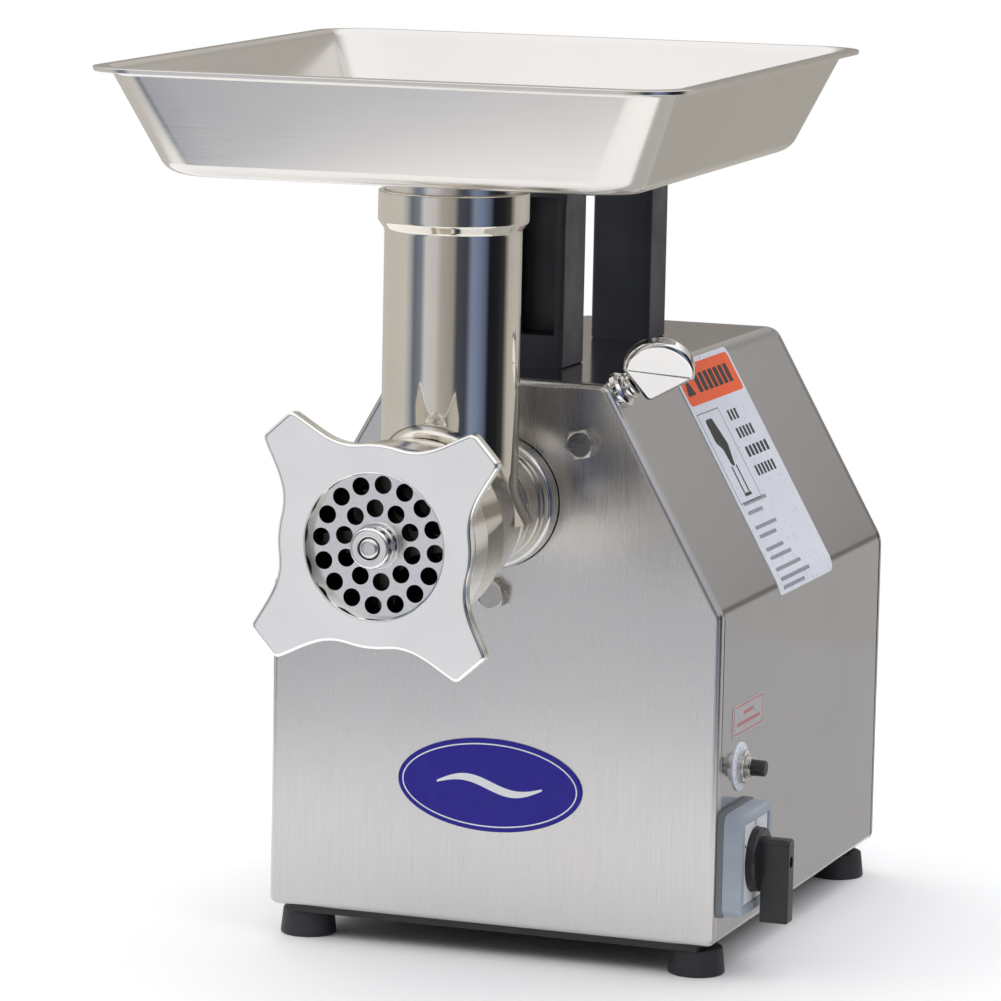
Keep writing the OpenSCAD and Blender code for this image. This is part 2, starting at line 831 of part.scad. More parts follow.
lock_bush_l = 12;
lock_flange_t = 4;
lock_neck_l = 9;
module lock_bush() {
    color("silver") on_lock_line() difference() {
        union() {
            translate([0, 0, slant_reach - lock_bush_l + lock_flange_t])
                cylinder(r = lock_bush_r, h = lock_bush_l);
            translate([0, 0, slant_reach]) cylinder(r = lock_flange_r, h = lock_flange_t);
        }
        cylinder(r = lock_r + fit, h = slant_reach + 20);
    }
}

module lock_screw() {
    color("silver") on_lock_line() {
        translate([0, 0, lock_tip]) cylinder(r = lock_r, h = slant_reach + lock_neck_l - lock_tip);
        translate([0, 0, slant_reach + lock_flange_t + run_gap])
            cylinder(r = 6.4, h = lock_neck_l - lock_flange_t - run_gap);
    }
}

// A flat round grip, its faces looking along the housing, with one side cut straight
module lock_paddle() {
    reach = slant_reach + 22;
    color("silver") on_lock_line() rotate([0, 0, paddle_turn]) difference() {
        translate([0, paddle_t / 2, reach]) rotate([90, 0, 0]) cylinder(r = paddle_r, h = paddle_t);
        block([paddle_flat, -paddle_t, reach - 2 * paddle_r], [2 * paddle_r, paddle_t, reach + 2 * paddle_r]);
        block([-paddle_r, -paddle_t, 0], [paddle_r, paddle_t, slant_reach + lock_neck_l]);
    }
}

// ---- Switch and breaker ----

switch_plate_half = [24, 24.75];
switch_plate_t = 3;
switch_bezel_t = 9;
bezel_face = side_x + switch_plate_t + switch_bezel_t;
switch_block_half = [15, 18];
dial_shaft_r = 3;
dial_face = side_x + 15.5;

// A box on the side, centred at [y, z], from x0 to x1
module side_box(centre, half, x0, x1) {
    block([x0, centre[0] - half[0], centre[1] - half[1]],
        [x1, centre[0] + half[0], centre[1] + half[1]]);
}

module switch_block() {
    color("dimgray") difference() {
        side_box([switch_y, switch_z], switch_block_half, side_x - 50, side_x - sheet);
        bar_x(dial_shaft_r + run_gap, side_x - 40, side_x, switch_y, switch_z);
    }
}

module switch_plate() {
    color("dimgray") difference() {
        side_box([switch_y, switch_z], switch_plate_half, side_x, side_x + switch_plate_t);
        bar_x(dial_shaft_r + past, side_x - past, bezel_face, switch_y, switch_z);
    }
}

module switch_bezel() {
    color("slategray") difference() {
        along_x(side_x + switch_plate_t, bezel_face)
            translate([switch_y, switch_z]) rounded_rect(47, 48, 5);
        bar_x(dial_r + run_gap, side_x, bezel_face + past, switch_y, switch_z);
    }
}

module switch_dial() {
    color("#1c1c1e") {
        bar_x(dial_shaft_r, side_x - 38, side_x + 5, switch_y, switch_z);
        bar_x(dial_r, side_x + switch_plate_t + run_gap, dial_face, switch_y, switch_z);
    }
}

// The grip reaches further below the dial's middle than above it
lever_half = 4.75;
lever_t = 13.2;
lever_up = 10.75;
lever_down = 28.75;
module switch_lever() {
    color("#1c1c1e") along_x(dial_face, dial_face + lever_t) {
        translate([switch_y, switch_z + lever_up - lever_half]) circle(lever_half);
        translate([switch_y - lever_half, switch_z - lever_down])
            square([2 * lever_half, lever_down + lever_up - lever_half]);
    }
}

breaker_neck_r = 5.5;
breaker_neck_l = 6.5;
breaker_half = [8, 15];
breaker_plate_r = 11.5;
breaker_plate_t = 0.8;
breaker_nut_t = 3.5;
module breaker_body() {
    neck_end = side_x + breaker_neck_l;
    color("#222222") difference() {
        union() {
            side_box([breaker_y, breaker_z], breaker_half, side_x - 40, side_x - sheet);
            bar_x(breaker_neck_r, side_x - 2, neck_end, breaker_y, breaker_z);
        }
        bar_x(button_r + run_gap, side_x - 4, neck_end + past, breaker_y, breaker_z);
    }
}

module breaker_plate() {
    color("white") difference() {
        bar_x(breaker_plate_r, side_x, side_x + breaker_plate_t, breaker_y, breaker_z);
        bar_x(breaker_neck_r + 0.2, side_x - past, side_x + 2, breaker_y, breaker_z);
    }
}

module breaker_nut() {
    nut_x = side_x + breaker_plate_t;
    color("silver") difference() {
        bar_x(8, nut_x, nut_x + breaker_nut_t, breaker_y, breaker_z, $fn = 6);
        bar_x(breaker_neck_r + fit, side_x, side_x + 5, breaker_y, breaker_z, $fn = 48);
    }
}

module reset_button() {
    color("black") bar_x(button_r, side_x - past, side_x + 13, breaker_y, breaker_z);
}

// ---- Badge and labels ----

badge_z = 83;
module badge() {
    half = [45.5, 22];
    color("#1b148c") along_y(front - 1.2, front) translate([0, badge_z])
        polygon([for (i = [1:48]) let (a = 7.5 * i) [half.x * cos(a), half.y * sin(a)]]);
}

module notice_label() {
    color("white") on_slant() translate([2, -43, 0]) cube([slant_l - 4, 86.6, 0.4]);
}

module reset_label() {
    color("white") block([side_x, front + 21, 110], [side_x + 0.4, front + 69, 125.6]);
}

front_panel();
housing_shell();
rear_panel();
front_frame();
rear_frame();
base_plate();
feet();
foot_screws();
rear_screws();
carry_handle();
handle_screws();
hub_socket();
hub_bolts();
gearbox_case();
gearbox_screws();
gearbox_cover();
output_bearings();
idler_bearings();
motor_case();
stator_core();
windings();
motor_end_cap();
motor_bearings();
fan_cowl();
motor_cradle();
start_capacitor();
capacitor_clip();
lock_bush();
switch_block();
switch_plate();
switch_bezel();
breaker_body();
breaker_nut();
breaker_plate();
badge();
notice_label();
reset_label();
cable_gland();
output_gear();
idler_gear();
idler_shaft();
motor_shaft();
rotor_core();
cooling_fan();
grinder_head();
cutting_plate();
plate_pin();
plate_bush();
feed_screw();
auger_shank();
auger_stud();
knife();
ring_nut();
feed_tray();
tray_spout();
lock_screw();
lock_paddle();
switch_dial();
switch_lever();
reset_button();
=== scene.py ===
"""Electric meat grinder: the looks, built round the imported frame. Metres, in the frame's axes."""
import cmath
import json
import math

import bmesh
import bpy
from mathutils import Matrix, Vector


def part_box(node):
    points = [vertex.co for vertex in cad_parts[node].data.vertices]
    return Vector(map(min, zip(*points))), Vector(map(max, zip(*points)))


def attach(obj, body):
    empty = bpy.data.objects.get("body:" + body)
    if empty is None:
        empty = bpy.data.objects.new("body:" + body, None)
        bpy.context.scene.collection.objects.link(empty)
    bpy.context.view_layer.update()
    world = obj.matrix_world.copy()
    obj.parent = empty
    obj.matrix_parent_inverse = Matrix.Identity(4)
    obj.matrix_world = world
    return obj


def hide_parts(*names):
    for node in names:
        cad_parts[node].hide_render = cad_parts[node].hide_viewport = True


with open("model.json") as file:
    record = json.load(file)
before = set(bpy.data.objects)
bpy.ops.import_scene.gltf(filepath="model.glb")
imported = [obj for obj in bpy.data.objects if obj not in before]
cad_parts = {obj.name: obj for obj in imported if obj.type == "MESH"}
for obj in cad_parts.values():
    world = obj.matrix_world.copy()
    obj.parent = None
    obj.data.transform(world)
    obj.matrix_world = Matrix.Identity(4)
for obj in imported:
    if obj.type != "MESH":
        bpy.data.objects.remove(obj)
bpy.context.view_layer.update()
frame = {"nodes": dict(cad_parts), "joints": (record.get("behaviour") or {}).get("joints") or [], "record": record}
NODES = frame["nodes"]
RECORD = frame["record"]
MM = 0.001
TINY = 1e-6
# Keeps the inset of a very sharp corner near that corner
SHARPEST = 0.6

# ---- Driving sizes, from the frame ----


def points_of(node):
    return [v.co for v in NODES[node].data.vertices]


def middle(node):
    low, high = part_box(node)
    return (low + high) / 2


SIDE_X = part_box("housing_shell")[1].x
BOTTOM_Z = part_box("housing_shell")[0].z
TOP_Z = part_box("housing_shell")[1].z
MID_Z = max(p.z for p in points_of("housing_shell") if p.x > SIDE_X - TINY)
TOP_HALF = max(p.x for p in points_of("housing_shell") if p.z > TOP_Z - TINY)
FRONT_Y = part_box("front_panel")[0].y
BACK_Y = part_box("rear_panel")[1].y
AXIS_Z = middle("cutting_plate").z
THROAT = next(Vector(m["pos_m"]) for m in RECORD["mounts"] if m["name"] == "feed_throat")
TILT = math.atan2(TOP_Z - MID_Z, SIDE_X - TOP_HALF)
SHEET = 1.5 * MM
MID_BEND = 14 * MM
TOP_BEND = 9 * MM


def out(reach):
    """Y of a point that many millimetres in front of the front panel."""
    return FRONT_Y - reach * MM


# ---- Outlines: complex numbers stand for points of a plane ----


def rounded(points, radii, steps=6, closed=True):
    """The polyline with each corner replaced by an arc."""
    result = []
    count = len(points)
    for i, corner in enumerate(points):
        radius = radii[i] if isinstance(radii, (list, tuple)) else radii
        if radius <= 0 or (not closed and i in (0, count - 1)):
            result.append(corner)
            continue
        before = points[i - 1] - corner
        after = points[(i + 1) % count] - corner
        half = abs(cmath.phase(after / before)) / 2
        cut = min(radius / math.tan(half), 0.49 * abs(before), 0.49 * abs(after))
        start = corner + before / abs(before) * cut
        end = corner + after / abs(after) * cut
        aim = before / abs(before) + after / abs(after)
        centre = corner + aim / abs(aim) * cut / math.cos(half)
        turn = cmath.phase((end - centre) / (start - centre))
        result += [centre + (start - centre) * cmath.rect(1, turn * k / steps) for k in range(steps + 1)]
    return result


def spaced(points, step):
    """The closed polyline with extra points, so that no stretch is longer than step."""
    result = []
    for i, p in enumerate(points):
        q = points[(i + 1) % len(points)]
        parts = max(1, math.ceil(abs(q - p) / step))
        result += [p + (q - p) * k / parts for k in range(parts)]
    return result


def area(points):
    return sum((p.conjugate() * q).imag for p, q in zip(points, points[1:] + points[:1])) / 2


def next_apart(points, i, step):
    """The first point, going one way round the outline, that doesn't coincide with point i."""
    count = len(points)
    others = (points[(i + step * k) % count] for k in range(1, count))
    return next(q for q in others if abs(q - points[i]) > TINY)


def inset(points, depth):
    """The closed outline moved inwards; points that coincide stay together."""
    side = 1 if area(points) > 0 else -1
    result = []
    for i, p in enumerate(points):
        before, after = next_apart(points, i, -1), next_apart(points, i, 1)
        u = (p - before) / abs(p - before)
        v = (after - p) / abs(after - p)
        normal = 1j * side * (u + v)
        result.append(p + normal * depth * 2 / max(abs(u + v) ** 2, SHARPEST))
    return result


def circle(radius, count=96, centre=0j, start=0.0):
    return [centre + cmath.rect(radius, start + 2 * math.pi * k / count) for k in range(count)]


def rectangle(w, h, radius, centre=0j, steps=8):
    corners = [complex(w, h) / 2, complex(-w, h) / 2, complex(-w, -h) / 2, complex(w, -h) / 2]
    return [centre + p for p in rounded(corners, radius, steps)]


def rays(points, centre, radius):
    """For each outline point, the point of a circle in the same direction from its centre."""
    return [centre + radius * (p - centre) / abs(p - centre) for p in points]


def profile_of(shape, radii, steps=5, closed=True, rise=MM):
    """Half a turned part's section: radii in millimetres, heights in millimetres unless rise is 1."""
    return rounded([complex(r * MM, h * rise) for r, h in shape], [r * MM for r in radii], steps, closed)


# ---- Planes that outlines are placed in ----


def plane(origin, u, v):
    """Takes (complex point, height) to a place: u and v span the plane, height goes along u x v."""
    u = Vector(u)
    v = Vector(v)
    w = u.cross(v)
    return lambda p, h: Vector(origin) + u * p.real + v * p.imag + w * h


def front_plane(y, x=0.0, z=0.0):
    """Outlines seen from the front; height goes towards -Y, out of the front panel."""
    return plane((x, y, z), (1, 0, 0), (0, 0, 1))


def side_plane(x, y=0.0, z=0.0):
    """Outlines seen from the right side; height goes towards +X."""
    return plane((x, y, z), (0, 1, 0), (0, 0, 1))


def floor_plane(z, x=0.0, y=0.0):
    """Outlines seen from above; height goes up."""
    return plane((x, y, z), (1, 0, 0), (0, 1, 0))


def slant_plane(slope, y, lift=0.0):
    """On the right slanted panel: u goes up the slope, v to the back, height outwards.

    The slope is measured down from the top edge; past the lower edge it follows the bend."""
    up = Vector((-math.cos(TILT), 0, math.sin(TILT)))
    back = Vector((0, 1, 0))
    length = (TOP_Z - MID_Z) / math.sin(TILT)
    turn = math.pi / 2 - TILT
    flat_end = length - MID_BEND * math.tan(turn / 2)
    top = Vector((TOP_HALF, y, TOP_Z))

    def place(p, h):
        along = slope - p.real
        a = min(max(along - flat_end, 0) / MID_BEND, turn)
        straight = min(along, flat_end)
        below = max(along - flat_end - MID_BEND * turn, 0)
        normal = Vector((math.sin(TILT + a), 0, math.cos(TILT + a)))
        first = Vector((math.sin(TILT), 0, math.cos(TILT)))
        at = top - up * straight + (normal - first) * MID_BEND
        return at + Vector((0, 0, -below)) + back * p.imag + normal * (h + lift)

    return place


# ---- Rows of points, and meshes ----


def laid(place, outline, *heights):
    """The outline at each of the heights."""
    return [[place(p, h) for p in outline] for h in heights]


def rolled_edge(outline, place, end, radius, steps=6, sign=1):
    """Rows that roll over an edge, from the side face to the end face.

    The sign is 1 for an end face that looks up the plane's height, and -1 for one that looks down."""
    rows = []
    for k in range(steps + 1):
        a = math.pi / 2 * k / steps
        shape = inset(outline, radius * (1 - math.cos(a)))
        rows += laid(place, shape, end - sign * radius * (1 - math.sin(a)))
    return rows


class Solid:
    """Collects loops of points and the faces between them."""

    def __init__(self):
        self.points = []
        self.faces = []
        self.kinds = []
        self.kind = 0

    def loop(self, points):
        start = len(self.points)
        self.points += [Vector(p) for p in points]
        return list(range(start, len(self.points)))

    def add(self, face):
        self.faces.append(face)
        self.kinds.append(self.kind)

    def bridge(self, a, b):
        for i in range(len(a)):
            j = (i + 1) % len(a)
            self.add((a[i], a[j], b[j], b[i]))

    def skin(self, loops, closed=False, caps=False):
        """Joins loops in a row; closed joins the last to the first, caps fills both ends."""
        rows = [self.loop(points) for points in loops]
        for a, b in zip(rows, rows[1:]):
            self.bridge(a, b)
        if closed:
            self.bridge(rows[-1], rows[0])
        if caps:
            self.add(tuple(reversed(rows[0])))
            self.add(tuple(rows[-1]))
        return self

    def turned(self, profile, place, count=96, closed=False):
        """Turns a profile of radius + height * 1j round the plane's middle."""
        rows = [[place(c, p.imag) for c in circle(max(p.real, 0.02 * MM), count)] for p in profile]
        return self.skin(rows, closed, caps=not closed)

    def plate(self, outline, place, low, high, edge=0.0, low_edge=None, steps=4):
        """A slab between two heights with rounded edges."""
        low_edge = edge if low_edge is None else low_edge
        start, end = laid(place, outline, low), laid(place, outline, high)
        if low_edge > 0:
            start = rolled_edge(outline, place, low, low_edge, steps, -1)[::-1]
        if edge > 0:
            end = rolled_edge(outline, place, high, edge, steps)
        return self.skin(start + end, caps=True)

    def make(self, name, body, slot, replaces=(), looks=None, sharp=38, weld=0.005 * MM):
        mesh = bpy.data.meshes.new(name)
        mesh.from_pydata([tuple(p) for p in self.points], [], self.faces)
        for polygon, kind in zip(mesh.polygons, self.kinds):
            polygon.material_index = kind
            polygon.use_smooth = True
        work = bmesh.new()
        work.from_mesh(mesh)
        bmesh.ops.remove_doubles(work, verts=work.verts, dist=weld)
        bmesh.ops.dissolve_degenerate(work, edges=work.edges, dist=TINY)
        bmesh.ops.recalc_face_normals(work, faces=work.faces)
        for edge in work.edges:
            edge.smooth = len(edge.link_faces) == 2 and edge.calc_face_angle(0) < math.radians(sharp)
        work.to_mesh(mesh)
        work.free()
        piece = bpy.data.objects.new(name, mesh)
        bpy.context.scene.collection.objects.link(piece)
        for look in looks or [LOOKS[slot]]:
            mesh.materials.append(look)
        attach(piece, body)
        if replaces:
            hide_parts(*replaces)
        even = piece.modifiers.new("even normals", "WEIGHTED_NORMAL")
        even.keep_sharp = True
        even.weight = 80
        return piece


# ---- Materials ----


def add_node(tree, kind, **values):
    """A new shader node; a value that is a socket is linked to the input, any other is set on it."""
    node = tree.nodes.new("ShaderNode" + kind)
    for name, value in values.items():
        socket = node.inputs[name.replace("_", " ")]
        if isinstance(value, bpy.types.NodeSocket):
            tree.links.new(value, socket)
        else:
            socket.default_value = value
    return node


class Look:
    """One procedural material: a Principled shader and the nodes that vary it."""

    def __init__(self, name, colour, rough, **values):
        self.material = bpy.data.materials.new(name)
        self.material.use_nodes = True
        self.tree = self.material.node_tree
        self.shader = self.tree.nodes["Principled BSDF"]
        self.colour = colour
        self.shader.inputs["Base Color"].default_value = (*colour, 1)
        self.shader.inputs["Roughness"].default_value = rough
        for socket, value in values.items():
            self.shader.inputs[socket.replace("_", " ")].default_value = value
        self.where = add_node(self.tree, "TexCoord").outputs["Object"]

    def join(self, socket, name):
        self.tree.links.new(socket, self.shader.inputs[name])

    def noise(self, scale, detail=3.0, stretch=(1, 1, 1), roughness=0.5):
        spread = add_node(self.tree, "Mapping", Scale=stretch, Vector=self.where).outputs["Vector"]
        node = add_node(self.tree, "TexNoise", Scale=scale, Detail=detail, Roughness=roughness, Vector=spread)
        return node.outputs["Fac"]

    def wave(self, scale, direction, distortion=0.0):
        node = add_node(self.tree, "TexWave", Scale=scale, Distortion=distortion, Vector=self.where)
        node.bands_direction = direction
        return node.outputs["Fac"]

    def tint(self, factor, dark, light, start=0.3, end=0.7):
        """Varies the colour between two multiples of it."""
        node = add_node(self.tree, "ValToRGB")
        for stop, place, share in zip(node.color_ramp.elements, (start, end), (dark, light)):
            stop.position = place
            stop.color = (*[min(1, c * s) for c, s in zip(self.colour, share)], 1)
        self.tree.links.new(factor, node.inputs["Fac"])
        self.join(node.outputs["Color"], "Base Color")

    def rough(self, factor, low, high):
        span = {"From_Min": 0.3, "From_Max": 0.7, "To_Min": low, "To_Max": high, "Value": factor}
        self.join(add_node(self.tree, "MapRange", **span).outputs["Result"], "Roughness")

    def bump(self, factor, strength, depth):
        node = add_node(self.tree, "Bump", Strength=strength, Distance=depth, Height=factor)
        before = self.shader.inputs["Normal"].links
        if before:
            self.tree.links.new(before[0].from_socket, node.inputs["Normal"])
        self.join(node.outputs["Normal"], "Normal")


def grey(dark, light):
    return (dark,) * 3, (light,) * 3


def sheet_steel(name, colour, rough, grain, spread=0.05, waves=0.00006):
    """Rolled sheet: long fine grain, soft clouds, and a surface that is not quite flat."""
    look = Look(name, colour, rough, Metallic=1.0)
    fine = look.noise(1500, 3, grain, 0.6)
    clouds = look.noise(9, 2)
    look.tint(clouds, (0.96, 0.96, 0.97), (1.02, 1.01, 1.0))
    look.rough(fine, rough - spread, rough + spread)
    look.bump(fine, 0.06, 0.000004)
    look.bump(look.noise(9, 1), 0.5, waves)
    return look.material


def polished_steel(name, colour, rough, waves=0.00003, grain=(1, 1, 1), streak=0.02):
    """Buffed casting: near mirror, with faint buffing streaks and a slightly uneven skin."""
    look = Look(name, colour, rough, Metallic=1.0)
    streaks = look.noise(1100, 3, grain, 0.6)
    look.tint(look.noise(22, 3), *grey(0.95, 1.02))
    look.rough(streaks, max(0.02, rough - streak), rough + streak)
    look.bump(streaks, 0.05, 0.000004)
    look.bump(look.noise(16, 1), 0.5, waves)
    return look.material


def drilled_plate(name, colour):
    """Ground face; the walls of the holes, which look across the plate, are painted near black as shade."""
    look = Look(name, colour, 0.3, Metallic=1.0)
    normal = add_node(look.tree, "TexCoord").outputs["Normal"]
    # Painted shade: faces whose normal lies across the plate, the hole walls, are tinted near black
    across = add_node(look.tree, "SeparateXYZ", Vector=normal).outputs["Y"]
    hole_wall_shade = add_node(look.tree, "Math", Value=across)
    hole_wall_shade.operation = "ABSOLUTE"
    look.tint(hole_wall_shade.outputs["Value"], *grey(0.03, 1.0), 0.4, 0.9)
    rings = look.noise(700, 3)
    look.rough(rings, 0.2, 0.28)
    look.bump(rings, 0.08, 0.00001)
    return look.material


def machined(name, colour, rough, scale=160, spread=0.06, depth=0.00004):
    """Turned, ground or cast metal: a fine grit."""
    look = Look(name, colour, rough, Metallic=1.0)
    grit = look.noise(scale, 5)
    look.tint(look.noise(40, 3), *grey(0.86, 1.06))
    look.rough(grit, rough - spread, rough + spread)
    look.bump(grit, 0.25, depth)
    return look.material


def moulded(name, colour, rough, depth=0.00005, scale=900, clouds=(0.85, 1.25), **values):
    """Moulded plastic or rubber: fine leather-like grain and faint rub marks."""
    look = Look(name, colour, rough, **values)
    look.tint(look.noise(25, 4), *grey(*clouds))
    grain = look.noise(scale, 3)
    look.rough(look.noise(60, 4), rough - 0.06, rough + 0.08)
    look.bump(grain, 0.3, depth)
    return look.material


def printed(name, colour, rough=0.3):
    """Printed vinyl: slight mottle in the ink and a faint waviness."""
    look = Look(name, colour, rough, Specular_IOR_Level=0.35)
    look.tint(look.noise(60, 2), *grey(0.98, 1.02))
    look.rough(look.noise(200, 2), rough - 0.05, rough + 0.08)
    look.bump(look.noise(45, 1), 0.15, 0.00002)
    return look.material


def laminated(name, colour):
    """A stack of thin sheets along Y."""
    look = Look(name, colour, 0.45, Metallic=1.0)
    layers = look.wave(220, "Y")
    look.tint(layers, *grey(0.55, 1.1))
    look.rough(look.noise(90, 3), 0.35, 0.6)
    look.bump(layers, 0.6, 0.0002)
    return look.material


def wound(name, colour):
    """Varnished wire, wound close."""
    look = Look(name, colour, 0.3, Metallic=0.8, Coat_Weight=0.5, Coat_Roughness=0.15)
    strands = look.wave(320, "Y", 1.5)
    look.tint(strands, (0.5, 0.4, 0.35), (1.15, 1.1, 1.0))
    look.rough(look.noise(90, 3), 0.25, 0.5)
    look.bump(strands, 0.8, 0.0004)
    return look.material


UP_GRAIN = (1, 1, 0.02)
BACK_GRAIN = (1, 0.02, 1)
# For each slot of the record, the kind of material and its values
SLOT_LOOKS = {
    "front_steel": (sheet_steel, (0.61, 0.602, 0.595), 0.25, UP_GRAIN, 0.035),
    "shell_steel": (sheet_steel, (0.5, 0.503, 0.525), 0.13, BACK_GRAIN, 0.02, 0.00003),
    "bracket_steel": (machined, (0.45, 0.46, 0.47), 0.42),
    "black_paint": (moulded, (0.016, 0.016, 0.017), 0.42),
    "foot_rubber": (moulded, (0.018, 0.018, 0.022), 0.55),
    "fastener_steel": (machined, (0.42, 0.41, 0.39), 0.28, 260, 0.06),
    "hub_casting": (polished_steel, (0.66, 0.65, 0.63), 0.16),
    "gearbox_casting": (machined, (0.6, 0.6, 0.6), 0.55, 120, 0.1, 0.0003),
    "bearing_steel": (machined, (0.72, 0.71, 0.68), 0.25, 260, 0.06),
    "motor_paint": (moulded, (0.1, 0.13, 0.14), 0.5),
    "lamination_steel": (laminated, (0.33, 0.33, 0.34)),
    "copper_wire": (wound, (0.6, 0.28, 0.12)),
    "capacitor_case": (machined, (0.68, 0.68, 0.69), 0.35, 200),
    "knob_chrome": (polished_steel, (0.8, 0.79, 0.77), 0.06),
    "switch_backing": (moulded, (0.13, 0.14, 0.15), 0.5),
    "switch_grey": (moulded, (0.3, 0.34, 0.39), 0.48),
    "switch_black": (moulded, (0.012, 0.012, 0.014), 0.34, 0.00006),
    "label_white": (printed, (0.78, 0.81, 0.88)),
    "label_clear": (printed, (0.42, 0.41, 0.42), 0.3),
    "badge_blue": (printed, (0.009, 0.004, 0.24), 0.3),
    "gear_steel": (machined, (0.52, 0.51, 0.5), 0.32, 200),
    "fan_plastic": (moulded, (0.55, 0.55, 0.5), 0.5),
    "head_polished": (polished_steel, (0.76, 0.72, 0.65), 0.075, 0.00004, UP_GRAIN, 0.025),
    "plate_steel": (machined, (0.82, 0.81, 0.8), 0.14, 240, 0.04),
    # Darker than cast steel: painted shade for the feed screw, seen deep inside through the plate's holes
    "screw_casting": (machined, (0.16, 0.155, 0.15), 0.5, 140, 0.08),
    "nut_polished": (polished_steel, (0.99, 0.975, 0.945), 0.16, 0.00003),
    "tray_steel": (sheet_steel, (0.74, 0.72, 0.685), 0.19, (0.02, 0.4, 1), 0.03),
}
LOOKS = {slot: kind(slot + "_look", *values) for slot, (kind, *values) in SLOT_LOOKS.items()}
LOOKS["black_plastic"] = moulded("black_plastic_look", (0.02, 0.022, 0.032), 0.42, 0.00006, 700,
                                 Specular_IOR_Level=0.6)
PLATE_FACE = drilled_plate("plate_face_look", (0.8, 0.8, 0.8))
# Near black: painted shade for the inner faces of the barrel's bore
BORE_SHADE = machined("bore_look", (0.05, 0.05, 0.05), 0.6, 140)
INK = printed("ink_look", (0.03, 0.03, 0.035), 0.4)
FINE_INK = printed("fine_ink_look", (0.12, 0.13, 0.15), 0.4)
ORANGE = printed("orange_ink_look", (0.95, 0.13, 0.035), 0.4)
RED = printed("red_ink_look", (0.55, 0.09, 0.1), 0.4)
WHITE_INK = printed("white_ink_look", (0.72, 0.74, 0.76), 0.35)
BRASS = machined("brass_look", (0.75, 0.6, 0.35), 0.3, 240)

# ---- Camera: worked out from the housing's straight edges ----


# Degrees to the right of the front, degrees up, degrees of roll
CAMERA_ANGLES = (19.958, 8.532, 1.1644)
CAMERA_PLACE = (0.83019, -2.41229, 0.58081)
CAMERA_LENS = 191.35


def make_camera():
    azimuth, elevation, roll = (math.radians(a) for a in CAMERA_ANGLES)
    level = Vector((math.sin(azimuth), -math.cos(azimuth), 0))
    back = level * math.cos(elevation) + Vector((0, 0, math.sin(elevation)))
    right = (-back).cross(Vector((0, 0, 1))).normalized()
    up = right.cross(-back)
    side = right * math.cos(roll) + up * math.sin(roll)
    top = up * math.cos(roll) - right * math.sin(roll)
    data = bpy.data.cameras.new("camera")
    data.sensor_width = 36
    data.lens = CAMERA_LENS
    data.clip_end = 200
    camera = bpy.data.objects.new("camera", data)
    bpy.context.scene.collection.objects.link(camera)
    turn = Matrix((side, top, back)).transposed()
    camera.matrix_world = Matrix.Translation(CAMERA_PLACE) @ turn.to_4x4()
    bpy.context.scene.camera = camera


# ---- Studio ----


FLOOR_R = 0.62


def staged(name, points, faces, look):
    """A thing of the studio, which is not part of the object."""
    mesh = bpy.data.meshes.new(name)
    mesh.from_pydata([tuple(p) for p in points], [], faces)
    mesh.materials.append(look.material)
    thing = bpy.data.objects.new(name, mesh)
    bpy.context.scene.collection.objects.link(thing)
    return thing


def make_floor():
    look = Look("floor_look", (0.93, 0.93, 0.925), 0.7)
    look.tint(look.noise(6, 2), *grey(0.99, 1.0))
    look.bump(look.noise(300, 2), 0.05, 0.00005)
    solid = Solid().plate(circle(FLOOR_R, 128), floor_plane(-1 * MM), -0.5 * MM, 1 * MM, 0.4 * MM)
    staged("floor", solid.points, solid.faces, look)


def make_card():
    """A grey card lying on the floor at the right, seen only in what the side panel mirrors."""
    low = Vector((0.12, -0.15, 0.6 * MM))
    far = Vector((0.6, 0.75, 0.6 * MM))
    corners = [low, (far.x, low.y, low.z), far, (low.x, far.y, low.z)]
    look = Look("card_look", (0.02, 0.02, 0.02), 0.9, Emission_Strength=1.0)
    look.shader.inputs["Emission Color"].default_value = (0.5, 0.49, 0.47, 1)
    card = staged("card", corners, [(0, 1, 2, 3)], look)
    card.visible_camera = False
    card.visible_shadow = False
    card.visible_diffuse = False


def area_light(name, place, aim, size, power, colour=(1, 1, 1)):
    """A soft light that isn't mirrored in the polished parts."""
    data = bpy.data.lights.new(name, "AREA")
    data.shape = "RECTANGLE"
    data.size, data.size_y = size
    data.energy = power
    data.color = colour
    light = bpy.data.objects.new(name, data)
    bpy.context.scene.collection.objects.link(light)
    turn = (Vector(place) - Vector(aim)).to_track_quat("Z", "Y").to_matrix().to_4x4()
    light.matrix_world = Matrix.Translation(place) @ turn
    light.visible_glossy = False


# Brightness of the studio round the object, by direction seen from above: degrees from the
# front towards the right side, then the colour there
STUDIO_RING = [
    (-180, (0.5, 0.48, 0.44)), (-126, (0.64, 0.62, 0.58)), (-64, (0.68, 0.67, 0.65)),
    (-55, (0.48, 0.5, 0.53)), (-46, (0.16, 0.19, 0.25)), (-33, (0.24, 0.27, 0.34)),
    (-25, (0.72, 0.73, 0.78)), (-7, (0.66, 0.66, 0.68)), (2, (0.48, 0.46, 0.44)),
    (21, (0.38, 0.36, 0.34)), (28, (0.08, 0.09, 0.11)),
    (44, (0.06, 0.07, 0.1)),
    (53, (0.26, 0.31, 0.45)), (65, (0.2, 0.26, 0.44)), (77, (0.12, 0.15, 0.23)), (84, (0.012, 0.013, 0.02)),
    (102, (0.018, 0.018, 0.022)), (116, (0.045, 0.042, 0.045)), (129, (0.56, 0.54, 0.5)),
    (146, (0.6, 0.58, 0.55)),
    (163, (0.56, 0.54, 0.51)), (172, (0.44, 0.42, 0.38))]

# Share of that brightness left just above the horizon
DIM = (0.45, 0.42, 0.4)
OVERHEAD = (1.2, 1.2, 1.24)


